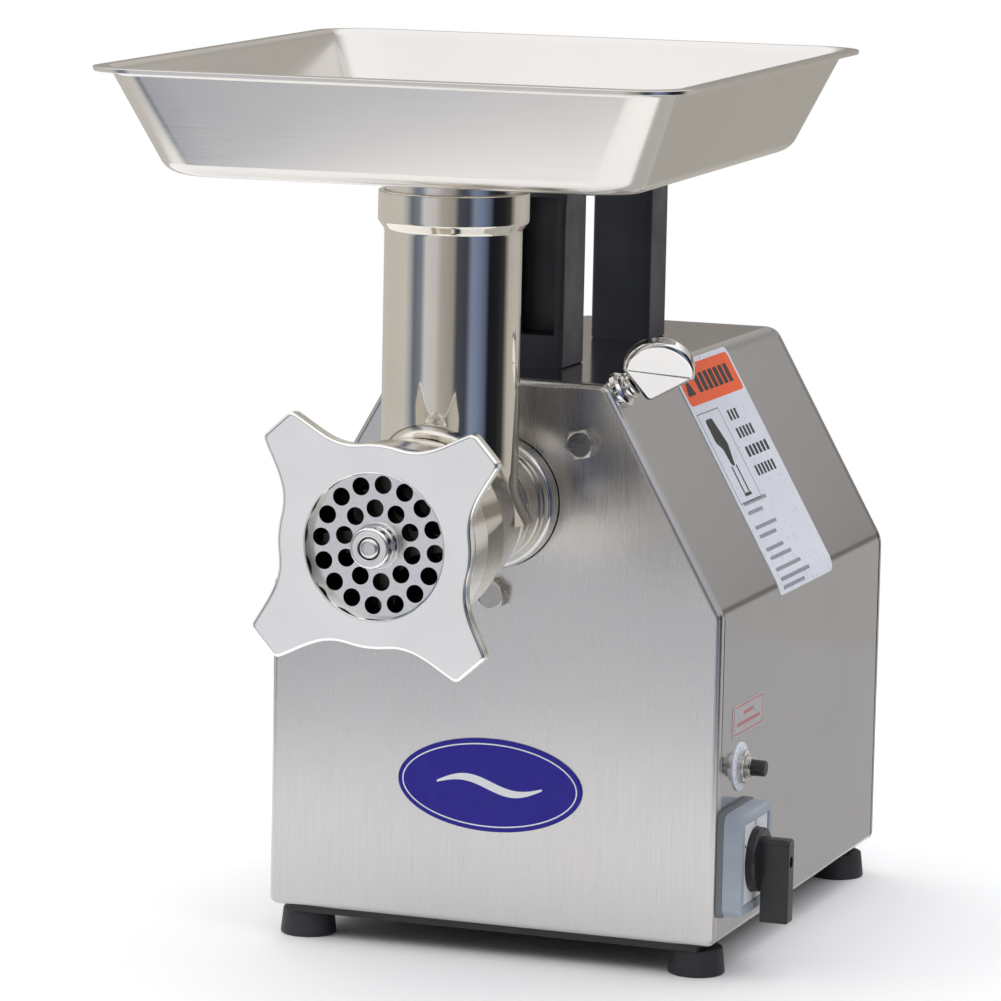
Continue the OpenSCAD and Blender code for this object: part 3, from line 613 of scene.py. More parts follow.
def make_world():
    world = bpy.data.worlds.new("studio")
    bpy.context.scene.world = world
    world.use_nodes = True
    tree = world.node_tree
    nodes, links = tree.nodes, tree.links
    nodes.clear()

    def math_node(operation, *values):
        node = add_node(tree, "Math")
        node.operation = operation
        for socket, value in zip(node.inputs, values):
            if isinstance(value, (int, float)):
                socket.default_value = value
            else:
                links.new(value, socket)
        return node.outputs["Value"]

    def ramp(factor, stops):
        node = add_node(tree, "ValToRGB", Fac=factor)
        elements = node.color_ramp.elements
        for i, (place, colour) in enumerate(stops):
            stop = elements[i] if i < 2 else elements.new(place)
            stop.position = place
            stop.color = (*colour, 1)
        return node.outputs["Color"]

    where = add_node(tree, "TexCoord").outputs["Generated"]
    parts = add_node(tree, "SeparateXYZ", Vector=where)
    turn = math_node("ARCTAN2", parts.outputs["X"], math_node("MULTIPLY", parts.outputs["Y"], -1))
    turn = math_node("MULTIPLY_ADD", turn, 0.5 / math.pi, 0.5)
    ring = ramp(turn, [((a + 180) / 360, c) for a, c in STUDIO_RING])
    height = math_node("MULTIPLY_ADD", parts.outputs["Z"], 0.5, 0.5)
    overhead = ramp(height, [(0.0, (0, 0, 0)), (0.68, (0, 0, 0)), (0.82, (1, 1, 1))])
    horizon = ramp(height, [(0.506, (1, 1, 1)), (0.522, DIM), (0.562, DIM), (0.588, (1, 1, 1))])
    mix, dimmed = add_node(tree, "Mix"), add_node(tree, "Mix")
    mix.data_type = dimmed.data_type = "RGBA"
    dimmed.blend_type = "MULTIPLY"
    dimmed.inputs[0].default_value = 1.0
    links.new(ring, dimmed.inputs[6])
    links.new(horizon, dimmed.inputs[7])
    links.new(overhead, mix.inputs[0])
    links.new(dimmed.outputs[2], mix.inputs[6])
    mix.inputs[7].default_value = (*OVERHEAD, 1)
    studio = add_node(tree, "Background", Strength=1.0, Color=mix.outputs[2])
    plain = add_node(tree, "Background", Color=(1, 1, 1, 1))
    seen = add_node(tree, "LightPath").outputs["Is Camera Ray"]
    choose = add_node(tree, "MixShader", Fac=seen)
    links.new(studio.outputs[0], choose.inputs[1])
    links.new(plain.outputs[0], choose.inputs[2])
    add_node(tree, "OutputWorld", Surface=choose.outputs[0])


def make_studio():
    make_camera()
    make_floor()
    make_card()
    make_world()
    centre = (0, -0.1, 0.2)
    area_light("key", (-1.6, -1.6, 1.9), centre, (1.2, 1.2), 18, (1, 0.98, 0.95))
    area_light("fill", (1.9, -1.2, 1.5), centre, (1.0, 1.4), 8, (0.95, 0.97, 1))
    area_light("top", (0, 0.2, 2.4), (0, 0, 0), (1.8, 1.8), 14)
    bpy.context.scene.view_settings.view_transform = "Standard"


# ---- Housing ----

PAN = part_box("front_panel")[1].y - FRONT_Y
PAN_EDGE = 3 * MM
SHELL_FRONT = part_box("housing_shell")[0].y
SHELL_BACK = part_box("housing_shell")[1].y


def housing_outline(mid_bend, top_bend):
    """Seen from the front: bottom left, bottom right, then round over the top."""
    right = [complex(SIDE_X, BOTTOM_Z), complex(SIDE_X, MID_Z), complex(TOP_HALF, TOP_Z)]
    left = [-p.conjugate() for p in right]
    radii = [4 * MM, 4 * MM, mid_bend, top_bend, top_bend, mid_bend]
    return spaced(rounded([left[0]] + right + [left[2], left[1]], radii, 8), 12 * MM)


def front_pan():
    outline = housing_outline(6 * MM, 5 * MM)
    place = front_plane(FRONT_Y)
    hole = rays(outline, complex(0, AXIS_Z), HUB_R + 0.4 * MM)
    rows = laid(place, outline, -PAN) + rolled_edge(outline, place, 0, PAN_EDGE)
    rows += laid(place, hole, 0, -SHEET)
    rows += laid(place, inset(outline, SHEET + PAN_EDGE), -SHEET)
    rows += laid(place, inset(outline, SHEET), -SHEET - 2 * MM, -PAN)
    Solid().skin(rows, closed=True).make("front_pan", "root", "front_steel", ["front_panel"])


def shell_wrap():
    outline = housing_outline(MID_BEND, TOP_BEND)
    place = front_plane(SHELL_FRONT)
    length = SHELL_BACK - SHELL_FRONT
    edge = 0.8 * MM
    rows = laid(place, outline, -length / 2) + rolled_edge(outline, place, 0, edge, 4)
    rows += laid(place, inset(outline, SHEET), 0, -length)
    rows += laid(place, inset(outline, edge), -length) + laid(place, outline, edge - length)
    Solid().skin(rows, closed=True).make("shell_wrap", "root", "shell_steel", ["housing_shell"])


def rear_pan():
    """Pan with a field of vent slots between bars."""
    outline = housing_outline(MID_BEND, TOP_BEND)
    place = front_plane(BACK_Y)
    pitch, slot_h, count = 12 * MM, 4 * MM, 7
    middle_z = 92 * MM
    half_h = (pitch * (count - 1) + slot_h) / 2
    half_w = 30 * MM
    centre = complex(0, middle_z)

    def field(p):
        d = p - centre
        scale = min(half_w / max(abs(d.real), TINY), half_h / max(abs(d.imag), TINY))
        return centre + d * scale

    rows = laid(place, outline, PAN) + rolled_edge(outline, place, 0, PAN_EDGE, sign=-1)
    rows += laid(place, [field(p) for p in outline], 0, SHEET)
    rows += laid(place, inset(outline, SHEET + PAN_EDGE), SHEET) + laid(place, inset(outline, SHEET), PAN)
    solid = Solid().skin(rows, closed=True)
    bar_h = pitch - slot_h
    for k in range(count - 1):
        z = middle_z - half_h + slot_h + pitch * k + bar_h / 2
        bar = rectangle(2 * half_w + 2 * MM, bar_h, 1.2 * MM, complex(0, z), 3)
        solid.plate(bar, place, 0.02 * MM, SHEET, 0.3 * MM, steps=2)
    solid.make("rear_pan", "root", "shell_steel", ["rear_panel"])


def pan_head_screws():
    """Screws with a domed head and a hollow drive, on the rear panel."""
    shape = [2 - 6j, 2, 4, 4 + 0.8j, 3.4 + 1.6j, 2.2 + 2.2j, 1.6 + 2.35j, 0.9 + 1.2j, 1j]
    profile = [complex(p) * MM for p in shape]
    solid = Solid()
    for side in (-1, 1):
        for x, z in ((102, 30), (102, 155), (42, 264)):
            place = plane((side * x * MM, BACK_Y, z * MM), (-1, 0, 0), (0, 0, 1))
            solid.turned(profile, place, 32)
    solid.make("rear_panel_screws", "root", "fastener_steel", ["rear_screws"])


# ---- Head ----

HUB_R = 31 * MM
NECK_R = 27.5 * MM
BARREL_R = 41 * MM
BORE_R = 26.5 * MM
WELL_R = 27 * MM
THROAT_R = 31 * MM


def hub_ring():
    """The hub's turned ring in front of the panel, with its bore."""
    reach = FRONT_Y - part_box("hub_socket")[0].y
    back = -26 * MM
    shape = [(HUB_R / MM, back), (HUB_R / MM, reach), (22.5, reach), (22.5, back)]
    solid = Solid()
    profile = profile_of(shape, [0, 2.2, 0.8, 0], 6, rise=1)
    solid.turned(profile, front_plane(FRONT_Y, 0, AXIS_Z), 128, closed=True)
    solid.make("hub_ring", "root", "hub_casting", ["hub_socket"])


def barrel_radius(y):
    """Outer radius of the barrel and its neck at a given Y."""
    start, end = out(100), out(31)
    if y <= start:
        return BARREL_R
    if y >= end:
        return NECK_R
    share = (y - start) / (end - start)
    return BARREL_R + (NECK_R - BARREL_R) * share


def throat_blend(angle, radius, share, size):
    """A point of the curve that leads from the throat tube onto the barrel."""
    def on_barrel(r):
        x, y = r * math.cos(angle), THROAT.y + r * math.sin(angle)
        wall = barrel_radius(y)
        return Vector((x, y, AXIS_Z + math.sqrt(max(wall * wall - x * x, 0))))
    corner = on_barrel(radius)
    foot = on_barrel(radius + size)
    top = corner + Vector((0, 0, size * 1.1))
    a, b = top.lerp(corner, share), corner.lerp(foot, share)
    return a.lerp(b, share)


def under_throat(p):
    return math.hypot(p.x, p.y - THROAT.y) < 29.5 * MM and p.z > AXIS_Z


def in_bore(p):
    across = math.hypot(p.x, p.z - AXIS_Z)
    return across < 31.5 * MM and out(146) < p.y < FRONT_Y - 25 * MM


def turned_barrel(solid):
    """The barrel and its bores, open where the throat's wall joins on."""
    place = front_plane(0, 0, AXIS_Z)
    face, spigot_end = -out(147.5), -(FRONT_Y + 28 * MM)
    hub_face = -(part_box("hub_socket")[0].y - 0.3 * MM)
    shape = [(12.3, spigot_end), (22.2, spigot_end), (22.2, hub_face), (27.5, hub_face), (27.5, -out(31)),
             (41, -out(100)), (41, -out(126)), (38.8, -out(127)), (38.8, face), (35.3, face),
             (35.3, -out(140.5)), (31, -out(140.5)), (31, -out(131)), (26.5, -out(131)),
             (26.5, -out(33)), (12.3, -out(33))]
    radii = [0.3, 1, 0.3, 1.5, 30, 18, 0.8, 0.3, 0.6, 0.6, 0.3, 0.3, 0.5, 0.5, 1, 0.5]
    profile = spaced(profile_of(shape, radii, 8, rise=1), 5 * MM)
    rows = [solid.loop([place(c, p.imag) for c in circle(p.real, 144)]) for p in profile]
    outer_share = 0.6
    for n, (a, b) in enumerate(zip(rows, rows[1:] + rows[:1])):
        for i in range(len(a)):
            j = (i + 1) % len(a)
            face = (a[i], a[j], b[j], b[i])
            corners = [solid.points[k] for k in face]
            # Inner faces of the bore take the second material, the painted shade
            solid.kind = int(n > outer_share * len(rows) and in_bore(corners[0]))
            if not all(under_throat(p) for p in corners):
                solid.add(face)
    solid.kind = 0


def head_casting():
    solid = Solid()
    turned_barrel(solid)
    place = floor_plane(0, 0, THROAT.y)
    rim_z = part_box("grinder_head")[1].z
    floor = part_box("tray_spout")[0].z - 0.3 * MM
    count = 144
    angles = [2 * math.pi * k / count for k in range(count)]
    rows = [[throat_blend(a, THROAT_R, 1 - k / 10, 7 * MM) for a in angles] for k in range(11)]
    shape = [(31, floor - 30 * MM), (31, floor - 5 * MM), (34, floor - 1 * MM), (34, rim_z), (31.2, rim_z),
             (31.2, floor), (26, floor), (26, AXIS_Z + 29 * MM), (27, AXIS_Z + 29 * MM),
             (27, AXIS_Z + 27 * MM)]
    profile = profile_of(shape, [0, 4, 3, 0.9, 0.6, 0.4, 0.8, 0.3, 0.3, 0], 6, closed=False, rise=1)
    rows += [[place(c, p.imag) for c in circle(p.real, count)] for p in profile]
    well = circle(WELL_R, count)
    rows.append([place(c, AXIS_Z + math.sqrt(max(BORE_R ** 2 - c.real ** 2, 0))) for c in well])
    solid.skin(rows)
    looks = [LOOKS["head_polished"], BORE_SHADE]
    solid.make("head_casting", "head", "head_polished", ["grinder_head"], looks=looks, sharp=32)


def bezier(a, b, c, d, steps):
    """Points of the curve from a to d, without its two ends."""
    shares = [k / steps for k in range(1, steps)]
    pulls = [(3 * (1 - t) ** 2 * t, 3 * (1 - t) * t * t) for t in shares]
    return [(1 - t) ** 3 * a + v * b + w * c + t ** 3 * d for t, (v, w) in zip(shares, pulls)]


def nut_outline():
    """Four lobes with straight tips; hollow flanks lead to the round waist between them."""
    tip, waist, half = 69 * MM, 45.2 * MM, 9 * MM
    flank = complex(-0.95, 0.312)
    pull = 13 * MM
    waist_low, waist_high = 34, 56

    def lobe(aim):
        left, right = complex(tip, half), complex(tip, -half)
        chain = [right + flank.conjugate() * pull, right, left, left + flank * pull]
        return [aim * p for p in rounded(chain, 3.2 * MM, 5, closed=False)[1:-1]]

    points = []
    for k in range(4):
        aim = cmath.rect(1, math.radians(45 + 90 * k - 3))
        here, following = lobe(aim), lobe(aim * 1j)
        turns = [waist_low + (waist_high - waist_low) * j / 8 for j in range(9)]
        arc = [waist * aim * cmath.rect(1, math.radians(a)) for a in turns]
        low, high = arc[0], arc[-1]
        first_pull = here[-1] + aim * flank * pull
        last_pull = following[0] + aim * 1j * flank.conjugate() * pull
        points += here + bezier(here[-1], first_pull, low - 1j * low / waist * pull, low, 12)
        points += arc + bezier(high, high + 1j * high / waist * pull, last_pull, following[0], 12)
    return points


def ring_nut():
    outline = nut_outline()
    place = front_plane(0, 0, AXIS_Z)
    face, seat, back = -out(154.5), -out(148), -out(128.5)
    lobe_back = face - 7 * MM
    edge = 1.5 * MM

    def rings(shape):
        return [row for r, h in shape for row in laid(place, rays(outline, 0j, r * MM), h)]

    rows = rings([(32, seat), (32, face - 1.2 * MM), (32.35, face - 0.35 * MM), (33.2, face)])
    rows += laid(place, inset(outline, 2.4 * MM), face)
    rows += rolled_edge(outline, place, face, edge)[::-1]
    rows += rolled_edge(outline, place, lobe_back, edge, 4, -1)
    rows += rings([(45, lobe_back), (44, lobe_back - 1 * MM), (44, back + 1 * MM), (43, back), (39.7, back),
                   (39.1, back + 0.6 * MM), (39.1, seat)])
    Solid().skin(rows, closed=True).make("lobed_nut", "nut", "nut_polished", ["ring_nut"], sharp=42)


def plate_face():
    """The cutting plate keeps its CAD shape; its bush and stud get their turned edges."""
    place = front_plane(0, 0, AXIS_Z)
    low = -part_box("cutting_plate")[1].y
    plate = -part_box("cutting_plate")[0].y
    shape = [(5.05, low), (7.5, low), (7.5, plate), (10.5, plate), (10.5, plate + 1.5 * MM),
             (7.6, plate + 1.8 * MM), (7.5, plate + 5 * MM), (9.3, plate + 6 * MM), (9.3, plate + 11.3 * MM),
             (5.05, plate + 11.3 * MM)]
    radii = [0, 0, 0, 0.2, 0.7, 1.2, 1.0, 0.8, 1.6, 0.5]
    solid = Solid().turned(profile_of(shape, radii, rise=1), place, 96, closed=True)
    solid.make("plate_collar", "head", "plate_steel", ["plate_bush"])
    back, tip = -out(140.3), -out(160.5)
    shape = [(4.75, back), (4.75, tip), (0, tip)]
    solid = Solid().turned(profile_of(shape, [0, 2.2, 0], 8, closed=False, rise=1), place, 64)
    solid.plate(rectangle(15 * MM, 15 * MM, 0.6 * MM, 0j, 2), place, -out(132), back, 0.3 * MM, steps=2)
    solid.make("screw_stud", "auger", "bearing_steel", ["auger_stud"])


def hub_bolt_heads():
    solid = Solid()
    height = FRONT_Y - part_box("hub_bolts")[0].y
    apothem = 6.5 * MM
    circle_z = AXIS_Z + 5 * MM
    for degrees, turned_by in ((30, 12), (150, 20), (270, 20)):
        centre = cmath.rect(48.5 * MM, math.radians(degrees)) + 1j * circle_z
        place = front_plane(FRONT_Y, centre.real, centre.imag)
        radius = apothem / math.cos(math.pi / 6)
        hexagon = [cmath.rect(radius, math.radians(turned_by + 60 * k)) for k in range(6)]
        ends = zip(hexagon, hexagon[1:] + hexagon[:1])
        outline = [p + (q - p) * j / 8 for p, q in ends for j in range(8)]
        rows = laid(place, rays(outline, 0j, 6.3 * MM), 0) + laid(place, outline, 0.4 * MM)
        rows.append([place(p, height - max(0, abs(p) - apothem * 0.97) * 0.55) for p in outline])
        rows += laid(place, rays(outline, 0j, apothem * 0.93), height)
        rows += laid(place, rays(outline, 0j, apothem * 0.86), height - 0.25 * MM)
        solid.skin(rows, caps=True)
        solid.turned([(4 - 10j) * MM, (4 + 0.1j) * MM], place, 24)
    solid.make("hub_bolt_heads", "root", "fastener_steel", ["hub_bolts"], sharp=28)


# ---- Feed tray ----

SPOUT_BORE = 29.4
TRAY_TURN = Matrix.Rotation(math.radians(2.8), 4, "Z")


def on_throat(p):
    """From the tray's own directions, measured from the throat's axis, to the frame's."""
    return Vector((0, THROAT.y, 0)) + TRAY_TURN @ p


def tray_rows():
    own = [TRAY_TURN.inverted() @ (p - Vector((0, THROAT.y, 0))) for p in points_of("feed_tray")]
    low, high = (Vector([pick(p[i] for p in own) for i in range(3)]) for pick in (min, max))
    centre = (low + high) / 2
    w, l = high.x - low.x, high.y - low.y
    lean, lip, thick = 19.5 * MM, 8 * MM, 1.6 * MM
    rim, bottom = high.z, low.z

    def outline(depth):
        radius = 26 * MM - depth if depth < lip else 18 * MM + (depth - lip) * 0.1
        return spaced_rectangle(w - 2 * depth, l - 2 * depth, max(radius, 8 * MM))

    def tray_row(depth, z):
        return [on_throat(Vector((centre.x + p.real, centre.y + p.imag, z))) for p in outline(depth)]

    far = lip + lean + 14 * MM
    under = rim - thick - 0.6 * MM
    section = [complex(far, bottom), complex(lip + lean, bottom), complex(lip, under),
               complex(0.3 * MM, under - 0.3 * MM), complex(0, rim - 0.5 * MM), complex(lip + 0.5 * MM, rim),
               complex(lip + lean + thick, bottom + thick), complex(far, bottom + thick)]
    radii = [r * MM for r in (0, 10, 3, 0.5, 0.4, 5, 9, 0)]
    rows = [tray_row(p.real, p.imag) for p in rounded(section, radii, 7, closed=False)]
    edge = [complex(v.x, v.y - THROAT.y) for v in rows[0]]
    hole = laid(floor_plane(0, 0, THROAT.y), rays(edge, 0j, SPOUT_BORE * MM), bottom, bottom + thick)
    return [hole[0]] + rows + [hole[1]]


def spaced_rectangle(w, l, radius):
    """A rounded rectangle with the same number of points at any size."""
    steps, parts_of_side = 10, 14
    points = rectangle(w, l, radius, 0j, steps)
    result = []
    for i, p in enumerate(points):
        q = points[(i + 1) % len(points)]
        parts = parts_of_side if i % (steps + 1) == steps else 1
        result += [p + (q - p) * k / parts for k in range(parts)]
    return result


def tray_pan():
    Solid().skin(tray_rows(), closed=True).make("tray_pan", "tray", "tray_steel", ["feed_tray"], sharp=50)
    low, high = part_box("tray_spout")
    shape = [(SPOUT_BORE, low.z), (30.9, low.z), (30.9, high.z), (SPOUT_BORE, high.z)]
    profile = profile_of(shape, [0.5, 0.5, 0, 0], 3, rise=1)
    solid = Solid().turned(profile, floor_plane(0, 0, THROAT.y), 128, closed=True)
    solid.make("spout_ring", "tray", "tray_steel", ["tray_spout"])


# ---- Carrying handle ----


def handle_outline(recessed):
    """Seen from the right side; recessed cuts the notch into the front leg's front face."""
    low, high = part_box("carry_handle")
    front, rear, top = low.y, high.y, high.z
    base = low.z
    depth = 18 * MM if recessed else 0
    notch_low, notch_high = base + 15.5 * MM, base + 80 * MM
    inner_front, inner_rear = front + 31 * MM, rear - 26 * MM
    bar = top - 14 * MM
    bend = 24 * MM
    corners = [(front, base), (inner_front, base), (inner_front, bar), (inner_rear, bar),
               (inner_rear, base), (rear, base), (rear, top), (front, top)]
    radii = [0, 0, 5 * MM, 5 * MM, 0, 0, bend, bend]
    shape = rounded([complex(*c) for c in corners], radii, 10)
    while shape[-1].imag < notch_high:
        shape.pop()
    rise = notch_high - (top - bend)
    start = front + bend - math.sqrt(bend * bend - rise * rise)
    inmost = front + depth
    face = [complex(start, notch_high), complex(max(start, inmost), notch_high),
            complex(inmost, top - bend), complex(inmost, notch_low), complex(front, notch_low)]
    return shape + face


def carrying_handle():
    half, wall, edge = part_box("carry_handle")[1].x, 4.2 * MM, 1.8 * MM
    full, cut = handle_outline(False), handle_outline(True)
    place = side_plane(0)
    rows = rolled_edge(full, place, -half, edge, 5, -1)[::-1]
    rows += laid(place, full, wall - half) + laid(place, cut, wall - half, half - wall)
    rows += laid(place, full, half - wall) + rolled_edge(full, place, half, edge, 5)
    solid = Solid().skin(rows, caps=True)
    solid.make("handle_arch", "root", "black_plastic", ["carry_handle"], sharp=35, weld=0.02 * MM)


# ---- Locking screw ----

LOCK = next(j for j in frame["joints"] if j["name"] == "lock_turn")


def lock_place(height):
    """Outlines across the locking screw's line; height goes out along it."""
    base = Vector(LOCK["pos_m"])
    line = Vector((math.sin(TILT), 0, math.cos(TILT)))
    down = Vector((math.cos(TILT), 0, -math.sin(TILT)))
    return lambda p, h: base + line * (height + h) + down * p.real + Vector((0, 1, 0)) * p.imag


def paddle_outline(radius):
    """A disc with a straight side and a straight heel; height runs along the screw."""
    flat, heel = 11 * MM, 13 * MM
    start = complex(flat, math.sqrt(radius ** 2 - flat ** 2))
    end = complex(-math.sqrt(radius ** 2 - heel ** 2), -heel)
    sweep = (cmath.phase(end) - cmath.phase(start)) % (2 * math.pi)
    steps = 60
    arc = [start * cmath.rect(1, sweep * k / steps) for k in range(steps + 1)]
    radii = [3.5 * MM, 2.5 * MM] + [0] * (steps - 1) + [3 * MM]
    return spaced(rounded([complex(flat, -heel)] + arc, radii, 5), 3 * MM)


def locking_screw():
    reach = SIDE_X * math.sin(TILT) + (MID_Z - AXIS_Z) * math.cos(TILT)
    place = lock_place(reach)
    shape = [(5.05, -8), (6.5, -8), (6.5, 0), (8.5, 0), (8.5, 2.6), (7.2, 4), (5.05, 4)]
    solid = Solid().turned(profile_of(shape, (0, 0, 0, 0.2, 0.8, 0.6, 0.4)), place, 72, closed=True)
    solid.make("lock_collar", "root", "knob_chrome", ["lock_bush"])
    tip = ((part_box("lock_screw")[0].x - LOCK["pos_m"][0]) / math.sin(TILT) - reach) / MM + 2.5
    shape = [(0, tip), (3.4, tip), (5, tip + 2), (5, 4.4), (6.4, 4.8), (6.4, 6.6), (5.4, 7.2),
             (5.4, 8.4), (0, 8.8)]
    solid = Solid()
    profile = profile_of(shape, (0, 0.5, 0.8, 0.2, 0.8, 0.8, 0.3, 0.3, 0), 4, closed=False)
    solid.turned(profile, place, 72)
    solid.make("lock_spindle", "lock", "knob_chrome", ["lock_screw"])
    line = place(0j, 1) - place(0j, 0)
    across = Matrix.Rotation(math.radians(30), 3, line) @ (place(1, 0) - place(0j, 0))
    disc = plane(place(0j, 22 * MM), across, line)
    solid = Solid().plate(paddle_outline(16.5 * MM), disc, -4 * MM, 4 * MM, 2.4 * MM, steps=7)
    solid.make("lock_grip", "lock", "knob_chrome", ["lock_paddle"], sharp=60)


# ---- Switch and breaker ----


DIAL_HOLE = 15.4 * MM


def rotary_switch():
    low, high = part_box("switch_plate")
    place = side_plane(low.x, (low.y + high.y) / 2, (low.z + high.z) / 2)
    base = high.x - low.x
    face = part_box("switch_bezel")[1].x - low.x
    seat = face - 1.4 * MM
    solid = Solid().plate(rectangle(high.y - low.y, high.z - low.z, 4 * MM), place, 0, base, 0.8 * MM, 0)
    solid.make("switch_backing", "root", "switch_backing", ["switch_plate"])
    outer = spaced(rectangle(47 * MM, 48 * MM, 5 * MM), 6 * MM)
    inner, hole = inset(outer, 5 * MM), rays(outer, 0j, DIAL_HOLE)
    rows = laid(place, outer, base) + rolled_edge(outer, place, face, 1.6 * MM, 5)
    rows += laid(place, inset(outer, 4.4 * MM), face) + laid(place, inner, face - 0.5 * MM, seat)
    rows += laid(place, hole, seat, base)
    Solid().skin(rows, closed=True).make("switch_frame", "root", "switch_grey", ["switch_bezel"])
    top = face - 1.0 * MM
    rows = laid(place, inset(outer, 5.2 * MM), seat, top) + laid(place, hole, top, seat)
    solid = Solid().skin(rows, closed=True)
    solid.kind = 1
    for degrees in (30, 90, 150):
        mark = cmath.rect(1, math.radians(degrees))
        bar = [mark * p for p in rectangle(2.6 * MM, 0.9 * MM, 0.3 * MM, 17.3 * MM, 2)]
        solid.plate(bar, place, top - 0.02 * MM, top + 0.07 * MM)
    solid.make("switch_scale", "root", "switch_grey", looks=[WHITE_INK, INK])


def switch_knob():
    low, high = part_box("switch_dial")
    y, z = middle("switch_plate").y, middle("switch_plate").z
    place = side_plane(0, y, z)
    disc_low = SIDE_X + 3.4 * MM
    shape = [(0, low.x), (3, low.x), (3, disc_low), (15, disc_low), (15, high.x), (0, high.x)]
    solid = Solid().turned(profile_of(shape, [0, 0.3, 0.3, 0.5, 1.4, 0], closed=False, rise=1), place, 96)
    solid.make("knob_disc", "selector", "switch_black", ["switch_dial"])
    low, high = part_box("switch_lever")
    w, h = high.y - low.y, high.z - low.z
    centre = 1j * ((low.z + high.z) / 2 - z)
    corners = [complex(-w, -h) / 2, complex(w, -h) / 2, complex(w, h) / 2, complex(-w, h) / 2]
    outline = spaced(rounded([centre + p for p in corners], [1.4 * MM, 1.4 * MM, 3 * MM, 3 * MM]), 6 * MM)
    hole, seat = 2.6 * MM, high.x - 4 * MM
    rows = laid(place, outline, low.x) + rolled_edge(outline, place, high.x, 1.1 * MM, 5)
    rows += laid(place, rays(outline, 0j, hole + 0.3 * MM), high.x)
    rows += laid(place, rays(outline, 0j, hole), high.x - 0.3 * MM, seat)
    Solid().skin(rows, caps=True).make("knob_lever", "selector", "switch_black", ["switch_lever"])
    shape = [(2.3, seat), (2.3, seat + 1.6 * MM), (0, seat + 2.0 * MM)]
    solid = Solid().turned(profile_of(shape, [0, 0.6, 0], 4, closed=False, rise=1), place, 32)
    solid.kind = 1
    for turn in (1, 1j):
        cross = [turn * cmath.rect(1, 0.6) * p for p in rectangle(3 * MM, 0.6 * MM, 0.1 * MM, 0j, 1)]
        solid.plate(cross, place, seat + 1.7 * MM, seat + 2.05 * MM)
    solid.make("lever_screw", "selector", "fastener_steel", looks=[BRASS, INK])


def breaker_disc(place):
    solid = Solid()
    shape = [(5.7, 0), (11.5, 0), (11.5, 0.8), (5.7, 0.8)]
    solid.turned(profile_of(shape, [0, 0, 0.35, 0.1], 3), place, 96, closed=True)
    solid.kind = 1
    for k in (0, 1, 2, 5, 6, 7, 8, 9, 10, 13, 14, 15):
        aim = cmath.rect(1, 2 * math.pi * k / 16)
        tick = [aim * p for p in rectangle(0.4 * MM, 1.1 * MM, 0.1 * MM, 9.9 * MM, 1)]
        solid.plate(tick, place, 0.79 * MM, 0.84 * MM)
    solid.make("breaker_disc", "root", "label_white", ["breaker_plate"], looks=[LOOKS["label_white"], INK])


def knurled_nut(place):
    teeth = 36
    count = teeth * 4
    radii = (7.7 * MM, 7.7 * MM, 7.25 * MM, 7.25 * MM) * teeth
    outline = [cmath.rect(r, 2 * math.pi * k / count) for k, r in enumerate(radii)]
    hole = rays(outline, 0j, 5.5 * MM)
    base, top = 0.8 * MM, 3.9 * MM
    rows = laid(place, outline, base, top - 0.6 * MM) + laid(place, rays(outline, 0j, 6.9 * MM), top)
    rows += laid(place, hole, top, base)
    Solid().skin(rows, closed=True).make("knurled_nut", "root", "bearing_steel", ["breaker_nut"], sharp=25)


def breaker_case(place):
    """The case inside the shell and its threaded neck."""
    low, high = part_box("breaker_body")
    solid = Solid()
    solid.kind = 1
    case = rectangle(high.y - low.y, high.z - low.z, 1 * MM)
    solid.plate(case, place, low.x - SIDE_X, -4.2 * MM, 0.6 * MM)
    solid.kind = 0
    turns = [0.2 + 0.7 * k for k in range(9)]
    thread = [p for h in turns for p in (complex(5.4, h), complex(4.95, h + 0.35))]
    neck = [4.05 - 6.5j, 5.4 - 6.5j] + thread + [5 + 6.5j, 4.05 + 6.5j]
    solid.turned([p * MM for p in neck], place, 64, closed=True)
    looks = [LOOKS["bearing_steel"], LOOKS["black_plastic"]]
    solid.make("breaker_case", "root", "black_plastic", ["breaker_body"], looks=looks, sharp=25)


def breaker():
    place = side_plane(SIDE_X, middle("breaker_plate").y, middle("breaker_plate").z)
    breaker_disc(place)
    knurled_nut(place)
    breaker_case(place)
    shape = [(0, 2.2), (3.75, 2.2), (3.75, 12.9), (0, 12.9)]
    solid = Solid().turned(profile_of(shape, [0, 0.2, 0.9, 0], closed=False), place, 48)
    solid.make("breaker_button", "button", "switch_black", ["reset_button"])


# ---- Badge and labels: plain shapes and bars ----


def oval_badge():
    """A blue oval with a white line round it and a plain ribbon across."""
    low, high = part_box("badge")
    place = front_plane(FRONT_Y, middle("badge").x, middle("badge").z)
    top = high.y - low.y
    a, b = (high.x - low.x) / 2, (high.z - low.z) / 2
    oval = [complex(a * p.real, b * p.imag) for p in circle(1)]
    solid = Solid().plate(oval, place, -0.1 * MM, top, 0.6 * MM, 0)
    solid.kind = 1
    rows = laid(place, inset(oval, 2.2 * MM), top - 0.02 * MM, top + 0.03 * MM)
    rows += laid(place, inset(oval, 2.8 * MM), top + 0.03 * MM, top - 0.02 * MM)
    solid.skin(rows, closed=True)
    shares = [k / 24 for k in range(25)]
    wave = [complex(-26 + 52 * t, 3.2 * math.sin(2 * math.pi * t)) * MM for t in shares]
    half = [1j * (0.5 + 1.6 * math.sin(math.pi * t)) * MM for t in shares]
    upper = [p + t for p, t in zip(wave, half)]
    lower = [p - t for p, t in zip(wave, half)]
    solid.plate(upper + lower[::-1], place, top - 0.02 * MM, top + 0.04 * MM)
    solid.make("oval_badge", "root", "badge_blue", ["badge"], looks=[LOOKS["badge_blue"], WHITE_INK])


def bars(solid, place, spots, lift):
    """Thin printed bars: middle and size of each, in millimetres."""
    for u, v, w, h in spots:
        bar = rectangle(w * MM, h * MM, 0.3 * MM, complex(u, v) * MM, 2)
        solid.plate(bar, place, lift - 0.02 * MM, lift + 0.05 * MM)


